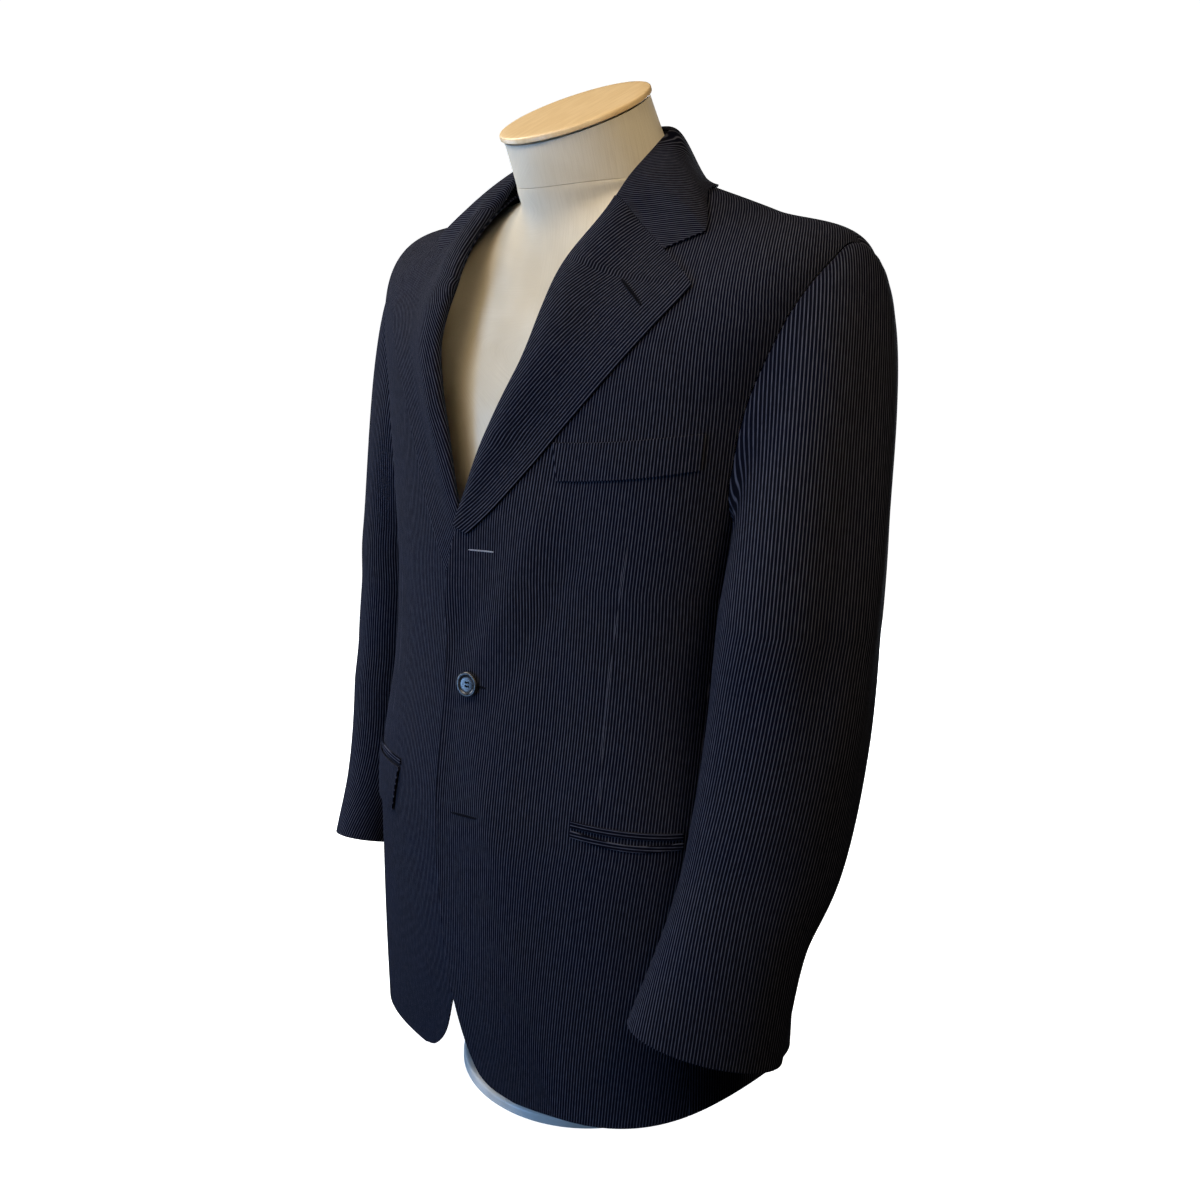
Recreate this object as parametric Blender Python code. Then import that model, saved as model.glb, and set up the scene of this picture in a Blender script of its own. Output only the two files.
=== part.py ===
"""Three-button single-breasted suit jacket, standing on a limbless tailor's form.

Units are metres, +Z is up and the wearer faces -Y, so the wearer's left is +X.
The origin is the centre of the underside of the form's foot.

The body of the jacket is one smooth shell, given by a short table of girth rings.
A place on it is an angle round the body (0 centre front, 90 the wearer's left side,
180 centre back) and a level, which counts the rows of that table from the hem up.
Panels are patches of this chart, cut along the seam lines and given the thickness
of the cloth. What lies on a panel is made from the same points, moved out.
"""

import math
from typing import NamedTuple

import bmesh
import bpy
import numpy as np
from mathutils import Matrix, Vector

# ---------------------------------------------------------------- sizes
CLOTH = 0.0018            # wall of the body and sleeves: worsted and its fused canvas
TRIM = 0.0014             # wall of welts, jets and the flap
SEAM_GAP = 0.0003         # between pieces that are sewn together
FRONT_LIFT = 0.0066       # how far the left front stands over the right at its edge
LAPEL_REST = 0.0026       # outer face of a lapel's edge over the front it lies on
LAPEL_ROLL = 0.0108       # outer face of a lapel where it rolls, over the same front
LAPEL_RISE = {"left": (0.0, 0.35), "right": (0.22, 0.55)}   # share of its length it rises over
LAPEL_CREST = 0.13        # where its roll is highest, as a share of its width
LAPEL_SPREAD = 0.27       # how far the roll spreads from there
COLLAR_LIFT = 0.0012      # the stand's foot over the neckline

FRONT_BUTTON = 0.0205     # diameter of a front button
CUFF_BUTTON = 0.0138      # diameter of a cuff button
CUFF_BUTTONS = 4
CUFF_BUTTON_START = 0.030     # from the cuff's edge to the lowest button's centre
CUFF_BUTTON_PITCH = 0.0146
CUFF_BUTTON_TURN = 11.0       # how far in front of the hind seam they lie, in degrees
CUFF_BUTTON_SEAT = 0.0009     # under a button, over the round of the sleeve
BUTTON_LEAN = math.radians(10)    # how far the fastened button turns to the wearer's left
BUTTON_SHANK = 0.0016             # and what its thread lifts it by
BUTTON_LEVELS = {"top": 5.62, "middle": 4.15, "bottom": 2.95}

NECK_TOP = (0.0, -0.0480, 0.8418)     # centre of the form's neck, where its cap sits
NECK_RADIUS = 0.0600
CAP_TILT = math.radians(28)           # how far the cap leans forwards
CAP_RIM = 0.0022                      # how far the cap stands out past the neck
CAP_THICKNESS = 0.006
FORM_SEGMENTS = 32
FORM_LEVELS = 19

BASE_RADIUS = 0.115       # foot plate of the form
BASE_HEIGHT = 0.010
POLE_RADIUS = 0.014


# ---------------------------------------------------------------- tables
class Ring(NamedTuple):
    """One girth line: its height at each side, half width, depths, and how square it is."""

    name: str
    front_z: float
    left_z: float
    right_z: float
    back_z: float
    half_width: float
    front: float
    back: float
    square: float


class Spot(NamedTuple):
    """A place on the jacket's chart."""

    name: str
    angle: float
    level: float


class Place(NamedTuple):
    """A point in space, on the wearer's left."""

    name: str
    x: float
    y: float
    z: float


class SleeveRow(NamedTuple):
    """One girth of a sleeve: its centre, half length and half width, and its turn inwards."""

    name: str
    x: float
    y: float
    z: float
    long: float
    short: float
    turn: float


class Fold(NamedTuple):
    """A soft trough down a sleeve: where it lies round the arm, its ends, depth and width."""

    name: str
    turn: float
    top_z: float
    bottom_z: float
    depth: float
    width: float


class Drape(NamedTuple):
    """How the collar's fall comes down at one of its cells, counted from the gorge.

    It has two inner control points, each given as shares of the way out and down.
    """

    cell: float
    near_out: float
    near_down: float
    far_out: float
    far_down: float


# The jacket hangs a little askew, lower on the wearer's right.
RINGS = [
    Ring("hem", 0.036, 0.078, 0.032, 0.050, 0.207, 0.139, 0.112, 0.05),
    Ring("seat", 0.112, 0.140, 0.112, 0.120, 0.206, 0.148, 0.116, 0.045),
    Ring("hip", 0.200, 0.214, 0.200, 0.206, 0.206, 0.152, 0.118, 0.045),
    Ring("pocket", 0.290, 0.298, 0.292, 0.294, 0.203, 0.152, 0.113, 0.05),
    Ring("waist", 0.385, 0.390, 0.388, 0.388, 0.190, 0.143, 0.106, 0.05),
    Ring("rib", 0.460, 0.465, 0.465, 0.465, 0.190, 0.138, 0.110, 0.05),
    Ring("chest", 0.530, 0.540, 0.540, 0.535, 0.198, 0.137, 0.120, 0.05),
    Ring("breast", 0.590, 0.635, 0.640, 0.600, 0.212, 0.134, 0.124, 0.05),
    Ring("shoulder", 0.645, 0.740, 0.750, 0.670, 0.238, 0.131, 0.112, 0.02),
    Ring("yoke", 0.700, 0.770, 0.776, 0.735, 0.160, 0.120, 0.086, 0.0),
    Ring("neck", 0.740, 0.797, 0.799, 0.800, 0.078, 0.100, 0.045, 0.0),
]

# The form inside: the same chart, with girths of its own, resting under the shoulders.
FORM_RINGS = [
    Ring("foot", 0.100, 0.100, 0.100, 0.100, 0.176, 0.118, 0.092, 0.02),
    Ring("hip", 0.205, 0.205, 0.205, 0.205, 0.180, 0.124, 0.098, 0.02),
    Ring("waist", 0.370, 0.370, 0.370, 0.370, 0.155, 0.106, 0.085, 0.0),
    Ring("rib", 0.460, 0.460, 0.460, 0.460, 0.163, 0.112, 0.092, 0.0),
    Ring("chest", 0.545, 0.540, 0.540, 0.545, 0.178, 0.118, 0.104, 0.0),
    Ring("breast", 0.610, 0.635, 0.635, 0.610, 0.190, 0.114, 0.108, 0.0),
    Ring("shoulder", 0.665, 0.732, 0.742, 0.672, 0.214, 0.098, 0.098, 0.0),
    Ring("yoke", 0.708, 0.7682, 0.7742, 0.731, 0.157, 0.086, 0.080, 0.0),
    Ring("neck", 0.752, 0.7912, 0.7932, 0.791, 0.075, 0.082, 0.037, 0.0),
    Ring("neck seam", 0.7835, 0.796, 0.798, 0.799, 0.0655, 0.0915, 0.0350, 0.0),
]

# Left front edge, from the hem round the cutaway and up to where the lapel breaks.
FRONT_EDGE = [
    Spot("hem", 12.0, 0.03), Spot("round", 4.0, 0.13), Spot("round", 0.4, 0.40),
    Spot("cutaway", -2.6, 0.95), Spot("cutaway", -5.2, 1.70), Spot("skirt", -6.8, 2.6),
    Spot("low button", -7.2, 3.4), Spot("button", -7.6, 4.2), Spot("top button", -7.6, 5.0),
    Spot("break", -6.2, 5.60),
]
RIGHT_FRONT_EDGE = [
    Spot("hem", 17.0, 0.03), Spot("round", 12.6, 0.13), Spot("round", 8.2, 0.45),
    Spot("cutaway", 4.6, 1.00), Spot("cutaway", 0.0, 1.70), Spot("skirt", -4.0, 2.5),
    Spot("low button", -6.5, 3.3), Spot("button", -7.0, 3.9), Spot("button", -7.0, 4.3),
    Spot("break", -6.6, 4.70),
]
# Where each lapel rolls, from its break to the gorge; the collar takes it on from there.
ROLL = {
    "left": [
        Spot("break", -6.2, 5.60), Spot("roll", -2.6, 6.38), Spot("roll", 1.9, 7.19),
        Spot("roll", 7.8, 7.97), Spot("roll", 16.0, 8.74), Spot("roll", 27.5, 9.38),
        Spot("gorge", 50.0, 9.90),
    ],
    "right": [
        Spot("break", -6.6, 4.70), Spot("roll", 1.5, 5.30), Spot("roll", 8.0, 6.15),
        Spot("roll", 12.2, 7.20), Spot("roll", 16.0, 8.05), Spot("roll", 27.0, 9.05),
        Spot("gorge", 50.0, 9.75),
    ],
}
NECKLINE = [Spot("under collar", 68.0, 9.97), Spot("side neck", 90.0, 10.0)]
LAPEL_EDGE = {
    "left": [
        Spot("break", -6.2, 5.60), Spot("edge", 5.0, 6.22), Spot("edge", 17.6, 7.19),
        Spot("edge", 26.0, 7.72), Spot("edge", 34.5, 8.05), Spot("tip", 45.6, 8.31),
    ],
    "right": [
        Spot("break", -6.6, 4.70), Spot("edge", 9.0, 5.18), Spot("edge", 17.0, 5.85),
        Spot("edge", 23.0, 6.70), Spot("edge", 31.0, 7.60), Spot("tip", 45.6, 8.35),
    ],
}
NOTCH = Spot("notch", 48.0, 8.90)
COLLAR_EDGE = [
    Spot("tip", 59.3, 8.86), Spot("front", 76.0, 9.46), Spot("side", 97.0, 9.71),
    Spot("back", 135.0, 9.84), Spot("centre back", 180.0, 9.90),
]
# Top of the collar's roll, from the gorge to the centre back.
COLLAR_FOLD = [
    Place("front", 0.0690, -0.055, 0.7960), Place("side", 0.0672, -0.024, 0.8215),
    Place("back", 0.0475, 0.011, 0.8390), Place("centre back", 0.0, 0.031, 0.8440),
]

COLLAR_DRAPE = [
    Drape(5.0, 0.41, 0.07, 0.75, 0.45), Drape(7.5, 0.36, 0.0, 0.50, 0.90),
    Drape(9.0, 0.36, 0.0, 0.50, 0.90), Drape(11.0, 0.41, 0.07, 0.75, 0.40),
]

# Seams: where the side panel begins and ends round the body.
SIDE_SEAMS = {
    "front": [Spot("hem", 61.0, 0.0), Spot("hip", 61.5, 2.0), Spot("waist", 64.0, 4.0),
              Spot("armhole", 69.0, 5.9)],
    "back": [Spot("hem", 116.0, 0.0), Spot("hip", 117.0, 2.0), Spot("waist", 118.0, 4.0),
             Spot("armhole", 112.0, 5.9)],
}
# The armhole, from the shoulder point forwards and round under the arm.
ARMHOLE = [
    Spot("shoulder", 90.0, 8.06), Spot("front head", 76.6, 7.93), Spot("front", 67.0, 7.66),
    Spot("front", 63.6, 7.25), Spot("front", 62.6, 6.68), Spot("front low", 64.5, 6.18),
    Spot("underarm", 76.0, 5.82), Spot("underarm", 92.0, 5.74), Spot("underarm", 106.0, 5.86),
    Spot("back low", 115.5, 6.30), Spot("back", 118.0, 6.95), Spot("back", 112.5, 7.62),
]
ARMHOLE_MIDDLE = (90.0, 6.9)
ARMHOLE_CELLS = 30        # round the armhole and the sleeve
FRONT_CORNER = 14         # armhole cell where the front's side seam meets it
BACK_CORNER = 22          # and the back's
SIDE_CELLS = 12           # up each side seam
PANEL_CELLS = 10          # across a front or a back
NECK_CELLS = 6            # round the back of the neck
LAPEL_CELLS = (13, 3)     # from the break to the tip, and from the tip to the notch
LAPEL_ACROSS = 6
COLLAR_CELLS = (3, 10)    # along the collar's end, and from its tip to the centre back

SLEEVES = {
    "left": [
        SleeveRow("bicep", 0.2505, -0.061, 0.480, 0.064, 0.049, 18.0),
        SleeveRow("elbow", 0.250, -0.066, 0.400, 0.062, 0.049, 27.0),
        SleeveRow("forearm", 0.2439, -0.0758, 0.314, 0.0585, 0.045, 36.0),
        SleeveRow("low", 0.2365, -0.0945, 0.252, 0.0525, 0.040, 41.0),
        SleeveRow("cuff", 0.226, -0.112, 0.167, 0.060, 0.037, 43.0),
    ],
    "right": [
        SleeveRow("bicep", 0.234, -0.024, 0.480, 0.057, 0.042, 8.0),
        SleeveRow("elbow", 0.240, -0.030, 0.395, 0.056, 0.041, 12.0),
        SleeveRow("forearm", 0.245, -0.036, 0.290, 0.056, 0.036, 15.0),
        SleeveRow("low", 0.243, -0.048, 0.225, 0.055, 0.035, 18.0),
        SleeveRow("cuff", 0.238, -0.066, 0.167, 0.058, 0.035, 20.0),
    ],
}
CAP_SPRING = 0.085        # how strongly the sleeve's head springs out of the armhole
CAP_CELLS = 6             # from the armhole to the bicep
ARM_CELLS = 10            # from there to the cuff
FRONT_SEAM = 14           # sleeve column of the seam inside the arm
HIND_SEAM = 23            # and of the one behind it
SLEEVE_FOLDS = [
    Fold("outer trough", 10.0, 0.70, 0.38, 0.0045, 22.0),
    Fold("hind trough", 312.0, 0.66, 0.34, 0.0045, 20.0),
    Fold("elbow", 60.0, 0.46, 0.34, 0.0030, 30.0),
]

BREAST_WELT = [
    Spot("top front", 15.8, 7.04), Spot("top back", 52.3, 6.90),
    Spot("bottom front", 18.0, 6.58), Spot("bottom back", 53.2, 6.59),
]
POCKETS = {
    "left": (Spot("pocket front", 27.5, 3.14), Spot("pocket back", 57.5, 3.10)),
    "right": (Spot("pocket front", 25.0, 3.08), Spot("pocket back", 55.0, 3.04)),
}
JET_WIDTH = 0.052         # in levels
FLAP_DROP = 0.48          # in levels
FLAP_RAKE = 3.0           # how much further back its lower edge begins, in degrees


# ---------------------------------------------------------------- the chart of the body
def smooth_rows(rows, position):
    """Catmull-Rom curve through the rows of an array, read at each position."""
    rows = np.asarray(rows, float)
    ends = np.concatenate([2 * rows[:1] - rows[1:2], rows, 2 * rows[-1:] - rows[-2:-1]])
    position = np.clip(np.asarray(position, float), 0, len(rows) - 1)
    row = np.minimum(position.astype(int), len(rows) - 2)
    part = (position - row).reshape(position.shape + (1,) * (rows.ndim - 1))
    before, here, there, after = (ends[row + step] for step in range(4))
    return here + 0.5 * part * (
        there - before
        + part * (2 * before - 5 * here + 4 * there - after
                  + part * (3 * (here - there) + after - before))
    )


def ring_surface(rings, angle, level):
    """Points of a ringed surface at these angles, in degrees, and levels."""
    angle, level = np.broadcast_arrays(np.asarray(angle, float), np.asarray(level, float))
    front_z, left_z, right_z, back_z, width, front, back, square = np.moveaxis(
        smooth_rows([ring[1:] for ring in rings], level), -1, 0
    )
    turn = np.radians(angle)
    sine, cosine = np.sin(turn), np.cos(turn)
    across = (sine + square * np.sin(3 * turn)) / (1 - square)
    along = (cosine - square * np.cos(3 * turn)) / (1 - square)
    depth = np.where(cosine > 0, front, back)
    end_z = np.where(cosine > 0, front_z, back_z)
    side_z = np.where(sine > 0, left_z, right_z)
    return np.stack([width * across, -depth * along, end_z + (side_z - end_z) * sine**2], -1)


def shell(angle, level, out=0.0):
    """Points on the jacket's outer face, moved out along its normal."""
    angle, level = np.broadcast_arrays(np.asarray(angle, float), np.asarray(level, float))
    top = len(RINGS) - 1
    low, high = np.clip(level - 0.02, 0, top), np.clip(level + 0.02, 0, top)
    around = ring_surface(RINGS, angle + 0.5, level) - ring_surface(RINGS, angle - 0.5, level)
    upward = ring_surface(RINGS, angle, high) - ring_surface(RINGS, angle, low)
    normal = np.cross(around, upward)
    normal /= np.linalg.norm(normal, axis=-1, keepdims=True)
    return ring_surface(RINGS, angle, level) + normal * np.asarray(out, float)[..., None]


def ease(value, low, high):
    """0 at or below low, 1 at or above high, smooth between."""
    share = np.clip((np.asarray(value, float) - low) / (high - low), 0, 1)
    return share * share * (3 - 2 * share)


def trace(spots, cells):
    """A smooth line through the spots, as cells + 1 rows of (angle, level)."""
    return smooth_rows([spot[1:] for spot in spots], np.linspace(0, len(spots) - 1, cells + 1))


def rule(first, last, cells):
    """Rows of points from each point of one line to the same point of another."""
    share = np.linspace(0, 1, cells + 1)[None, :, None]
    return first[:, None] * (1 - share) + last[:, None] * share


def unit(vectors):
    """The vectors at length 1."""
    return vectors / np.maximum(np.linalg.norm(vectors, axis=-1, keepdims=True), 1e-12)


def trim(outer, inner, gap=1.3 * SEAM_GAP):
    """Draw the four borders of a wall's two faces in, together, by half a gap."""
    faces = np.stack([outer, inner])
    for _ in range(2):
        for border, inside in ((0, 1), (-1, -2)):
            faces[:, border] += unit((faces[:, inside] - faces[:, border]).mean(0)) * gap / 2
        faces = np.swapaxes(faces, 1, 2)
    return faces[0], faces[1]


def inward(grid, wall, outside):
    """The grid moved back by a wall, on the side away from the point or points outside."""
    normal = unit(np.cross(np.gradient(grid, axis=0), np.gradient(grid, axis=1)))
    facing = np.sum(normal * (outside - grid), axis=-1, keepdims=True)
    return grid - normal * np.sign(facing) * wall


# ---------------------------------------------------------------- cut pieces
class Piece(NamedTuple):
    """A wall of cloth: its outer and inner faces as grids of points, and its material."""

    name: str
    outer: np.ndarray
    inner: np.ndarray
    material: str


def mirror(points):
    """The same points on the wearer's right."""
    return points * np.array([-1.0, 1.0, 1.0])


def own_side(side, angle, level, out=0.0):
    """Points of the jacket's outer face on a side, as if on the wearer's left."""
    if side == "left":
        return shell(angle, level, out)
    return mirror(shell(-angle, level, out))


def armhole_line():
    """The armhole's cells, as (angle, level), starting at the shoulder and going forwards."""
    count = len(ARMHOLE)
    rows = np.array([spot[1:] for spot in ARMHOLE])
    around = np.vstack([rows[-2:], rows, rows[:3]])
    position = 2 + np.arange(ARMHOLE_CELLS + 1) * count / ARMHOLE_CELLS
    line = smooth_rows(around, position)
    line[-1] = line[0]
    return line


def seam_line(seam, levels):
    """A side seam's cells at these levels."""
    rows = np.array([spot[1:] for spot in SIDE_SEAMS[seam]])
    position = np.interp(levels, rows[:, 1], np.arange(len(rows)))
    return np.stack([smooth_rows(rows[:, :1], position)[:, 0], levels], -1)


def seam_levels(seam):
    """Levels of the side seam's cells, closer together near the hem."""
    corner = armhole_line()[FRONT_CORNER if seam == "front" else BACK_CORNER]
    edge = trace(FRONT_EDGE, SIDE_CELLS)[:, 1]
    share = (edge - edge[0]) / (edge[-1] - edge[0])
    return share * corner[1], corner


def side_edge(seam):
    """A panel's side: up the side seam to its corner of the armhole."""
    levels, corner = seam_levels(seam)
    line = seam_line(seam, levels)
    shift = corner[0] - line[-1, 0]
    line[:, 0] += shift * (levels / levels[-1]) ** 4
    return line


def lift(angle, level):
    """How far the left front stands out over the right one."""
    across = 1 - ease(angle, 6.0, 24.0)
    skirt = ease(level, 0.2, 1.6)
    return FRONT_LIFT * across * (0.55 + 0.45 * skirt) * (1 - ease(level, 5.9, 7.4))


def sheet(chart, side, out, wall):
    """Both faces of a wall over the chart: its outer face lies this far off the panel's."""
    sign = 1.0 if side == "left" else -1.0
    angle, level = sign * chart[..., 0], chart[..., 1]
    if side == "left":
        out = out + lift(angle, level)
    return shell(angle, level, out), shell(angle, level, out - wall)


def front_chart(side):
    """A front, by rows from its edge to the side seam and armhole."""
    edge = FRONT_EDGE if side == "left" else RIGHT_FRONT_EDGE
    armhole = armhole_line()
    upper = FRONT_CORNER
    neckline = ROLL[side] + NECKLINE
    first = np.vstack([trace(edge, SIDE_CELLS), trace(neckline, upper)[1:]])
    last = np.vstack([side_edge("front"), armhole[:FRONT_CORNER][::-1]])
    return rule(first, last, PANEL_CELLS)


def front(side):
    """A front panel."""
    outer, inner = sheet(front_chart(side), side, 0.0, CLOTH)
    return Piece(f"front_{side}", *trim(outer, inner), "suiting")


def side_panel(side):
    """The panel under the arm, its top edge hollowed to the armhole."""
    chart = rule(side_edge("front"), side_edge("back"), BACK_CORNER - FRONT_CORNER)
    hollow = armhole_line()[FRONT_CORNER:BACK_CORNER + 1] - chart[-1]
    fade = np.linspace(0, 1, len(chart))[:, None, None] ** 4
    outer, inner = sheet(chart + fade * hollow, side, 0.0, CLOTH)
    return Piece(f"side_{side}", *trim(outer, inner), "suiting")


def back(side):
    """Half of the back, from the centre seam to the side seam and armhole."""
    armhole = armhole_line()
    last = np.vstack([side_edge("back"), armhole[BACK_CORNER + 1:]])
    centre_levels = np.interp(
        np.linspace(0, 1, len(last) - NECK_CELLS), np.linspace(0, 1, SIDE_CELLS + 1),
        seam_levels("back")[0] / seam_levels("back")[0][-1] * (len(RINGS) - 1),
    )
    centre = np.stack([np.full(len(centre_levels), 180.0), centre_levels], -1)
    neck = np.stack([np.linspace(180, 90, NECK_CELLS + 1)[1:], np.full(NECK_CELLS, 10.0)], -1)
    chart = rule(np.vstack([centre, neck]), last, PANEL_CELLS)
    outer, inner = sheet(chart, side, 0.0, CLOTH)
    return Piece(f"back_{side}", *trim(outer, inner), "suiting")


def lapel_profile(chart, side):
    """How far out a lapel's face lies: rolled at its inner edge, flat at its outer one."""
    across = np.linspace(0, 1, chart.shape[1])[None, :]
    along = np.linspace(0, 1, chart.shape[0])[:, None]
    roll = (LAPEL_ROLL - LAPEL_REST) * ease(along, *LAPEL_RISE[side])
    bulge = np.exp(-((across - LAPEL_CREST) / LAPEL_SPREAD) ** 2)
    return LAPEL_REST + roll * bulge


def lapel_chart(side):
    """A lapel, by rows from where it rolls to its outer edge, the break first."""
    edge_cells, tip_cells = LAPEL_CELLS
    edge = trace(LAPEL_EDGE[side], edge_cells)
    tip = rule(edge[-1:], np.array([NOTCH[1:]]), tip_cells)[0]
    roll = trace(ROLL[side], edge_cells + tip_cells)
    chart = rule(roll, np.vstack([edge, tip[1:]]), LAPEL_ACROSS)
    return chart


def lapel(side):
    """A lapel, folded back over its front."""
    chart = lapel_chart(side)[1:]
    outer, inner = sheet(chart, side, lapel_profile(chart, side), CLOTH)
    return Piece(f"lapel_{side}", *trim(outer, inner), "suiting")


def collar_half(side):
    """Half of the collar's fall, by rows from its roll to its edge, the gorge first."""
    sign = 1.0 if side == "left" else -1.0
    end_cells, back_cells = COLLAR_CELLS
    gorge_chart = lapel_chart(side)[-1:]
    gorge = sheet(gorge_chart, side, lapel_profile(lapel_chart(side), side)[-1:], CLOTH)[0][0]
    places = np.array([place[1:] for place in COLLAR_FOLD]) * np.array([sign, 1.0, 1.0])
    fold = smooth_rows(
        np.vstack([gorge[0], places]), np.linspace(0, len(places), end_cells + back_cells + 1)
    )
    end = rule(np.array([NOTCH[1:]]), np.array([COLLAR_EDGE[0][1:]]), end_cells)[0]
    line = np.vstack([end[:-1], trace(COLLAR_EDGE, back_cells)])
    edge = shell(sign * line[:, 0], line[:, 1], LAPEL_REST)
    share = np.linspace(0, 1, LAPEL_ACROSS + 1)[None, :, None]
    drapes = np.array(COLLAR_DRAPE)
    near_out, near_down, far_out, far_down = (
        np.interp(np.arange(len(fold)), drapes[:, 0], shares)[:, None]
        for shares in drapes[:, 1:].T
    )
    near = np.stack([near_out, near_out, near_down], -1)
    far = np.stack([far_out, far_out, far_down], -1)
    way = 3 * share * (1 - share) ** 2 * near + 3 * share**2 * (1 - share) * far + share**3
    rolled = fold[:, None] + (edge - fold)[:, None] * way
    straight = fold[:, None] * (1 - share) + edge[:, None] * share
    sag = gorge - (gorge[:1] * (1 - share[0]) + gorge[-1:] * share[0])
    near = (1 - ease(np.arange(len(fold)), 0, end_cells + 2))[:, None, None]
    return near * (straight + sag[None]) + (1 - near) * rolled


def collar():
    """The collar: a fall over the shoulders and a stand inside it."""
    left, right = collar_half("left"), collar_half("right")
    fall = np.vstack([left, right[:-1][::-1]])
    centre = np.array([0.0, -0.03, 0.74])
    under = inward(fall, CLOTH, centre + (fall - centre) * 3)
    first, last = 5, len(fall) - 6
    top = fall[first:last + 1, 0] - np.array([0, 0, CLOTH + 2.5 * SEAM_GAP])
    angles = np.degrees(np.arctan2(top[:, 0], -(top[:, 1] + 0.02)))
    foot = ring_surface(RINGS, angles, 10.0) + np.array([0, 0, COLLAR_LIFT])
    stand = rule(foot, top, 3)
    stand_in = inward(stand, CLOTH, centre + (stand - centre) * 3)
    return [
        Piece("collar_fall", *trim(fall, under), "suiting"),
        Piece("collar_stand", stand, stand_in, "suiting"),
    ]


# ---------------------------------------------------------------- sleeves
def sleeve_frame(row, heading):
    """Centre, outward and forward directions of a sleeve's girth, square to its heading."""
    row = np.asarray(row, float)
    turn = np.radians(row[..., 5])
    forward = np.stack([-np.sin(turn), -np.cos(turn), np.zeros_like(turn)], -1)
    forward = unit(forward - heading * np.sum(forward * heading, -1, keepdims=True))
    outward = unit(np.cross(heading, forward))
    outward *= np.sign(outward[..., :1])
    return row[..., :3], outward, forward


def sleeve_rings(side, turns):
    """Girths of the arm below the bicep, at these turns round it, 0 outwards, 90 forwards."""
    rows = np.array([row[1:] for row in SLEEVES[side]])
    position = np.linspace(0, len(rows) - 1, ARM_CELLS + 1)
    line = smooth_rows(rows, position)
    heading = unit(np.gradient(line[:, :3], axis=0))
    centre, outward, forward = sleeve_frame(line, heading)
    sine, cosine = np.sin(np.radians(turns)), np.cos(np.radians(turns))
    rings = (
        centre[:, None]
        + line[:, 3, None, None] * sine[None, :, None] * forward[:, None]
        + line[:, 4, None, None] * cosine[None, :, None] * outward[:, None]
    )
    return rings, heading


def sleeve_grid(side):
    """The whole sleeve's outer face, by girths from the armhole to the cuff."""
    hole = armhole_line()
    seam = own_side(side, hole[:, 0], hole[:, 1])
    middle = (seam[:-1].max(0) + seam[:-1].min(0)) / 2
    reach = (seam.max(0) - seam.min(0)) / 2
    turns = np.degrees(np.unwrap(np.arctan2(
        -(seam[:, 1] - middle[1]) / reach[1], (seam[:, 2] - middle[2]) / reach[2]
    )))
    rings, heading = sleeve_rings(side, turns)
    sine, cosine = np.sin(np.radians(turns)), np.cos(np.radians(turns))
    under = ease(-cosine, -0.2, 1.0)
    outwards = own_side(side, hole[:, 0], hole[:, 1], 1.0) - seam
    outwards = unit(outwards * np.array([1, 1, 0.25]) + np.array([0.8, 0, -0.1]))
    leave = outwards * CAP_SPRING * (1 - 0.6 * under)[:, None]
    arrive = heading[0] * (0.11 + 0.09 * cosine)[:, None]
    clear = hole + 0.05 * (np.array(ARMHOLE_MIDDLE) - hole)
    clear = unit(own_side(side, clear[:, 0], clear[:, 1]) - seam) * 2.2 * SEAM_GAP
    seam = seam + clear
    t = np.linspace(0, 1, CAP_CELLS + 1)[:-1, None, None]
    cap = ((2 * t**3 - 3 * t**2 + 1) * seam + (t**3 - 2 * t**2 + t) * leave
           + (3 * t**2 - 2 * t**3) * rings[0] + (t**3 - t**2) * arrive)
    grid = np.vstack([cap, rings])
    axis = grid[:, :-1].mean(1, keepdims=True)
    depth = np.zeros(grid.shape[:2])
    for fold in SLEEVE_FOLDS:
        away = (turns - turns[0] - fold.turn + 180) % 360 - 180
        round_arm = np.exp(-(away / fold.width) ** 2)[None]
        mid, half = (fold.top_z + fold.bottom_z) / 2, (fold.top_z - fold.bottom_z) / 2
        along = np.exp(-(((grid[..., 2] - mid) / half) ** 4))
        depth += fold.depth * round_arm * along
    grid = grid - unit(grid - axis) * depth[..., None]
    seam_in = own_side(side, hole[:, 0], hole[:, 1], -CLOTH) + clear
    return grid, axis, seam_in, turns


def sleeve(side):
    """A two-piece sleeve: the top sleeve over the arm, and the under sleeve inside it."""
    grid, axis, seam_in, _ = sleeve_grid(side)
    wrapped = np.concatenate([grid[:, -2:-1], grid, grid[:, 1:2]], axis=1)
    far = axis + (wrapped - axis) * 3
    inside = inward(wrapped, CLOTH, far)[:, 1:-1]
    inside[0] = seam_in
    spans = {
        "under": np.arange(FRONT_SEAM, HIND_SEAM + 1),
        "top": np.arange(HIND_SEAM, FRONT_SEAM + ARMHOLE_CELLS + 1) % ARMHOLE_CELLS,
    }
    pieces = []
    for name, columns in spans.items():
        outer, inner = trim(grid[:, columns], inside[:, columns], 2.6 * SEAM_GAP)
        if side == "right":
            outer, inner = mirror(outer), mirror(inner)
        pieces.append(Piece(f"sleeve_{name}_{side}", outer, inner, "suiting"))
    return pieces


# ---------------------------------------------------------------- trims
def patch(name, side, corners, cells, out, wall=TRIM):
    """A flat trim on a panel, between four corners of the chart."""
    top_front, top_back, low_front, low_back = (np.array(spot[1:]) for spot in corners)
    down, across = cells
    front_line = rule(top_front[None], low_front[None], down)[0]
    back_line = rule(top_back[None], low_back[None], down)[0]
    chart = rule(front_line, back_line, across)
    outer, inner = sheet(chart, side, out + wall + SEAM_GAP, wall)
    return Piece(name, outer, inner, "suiting")


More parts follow.
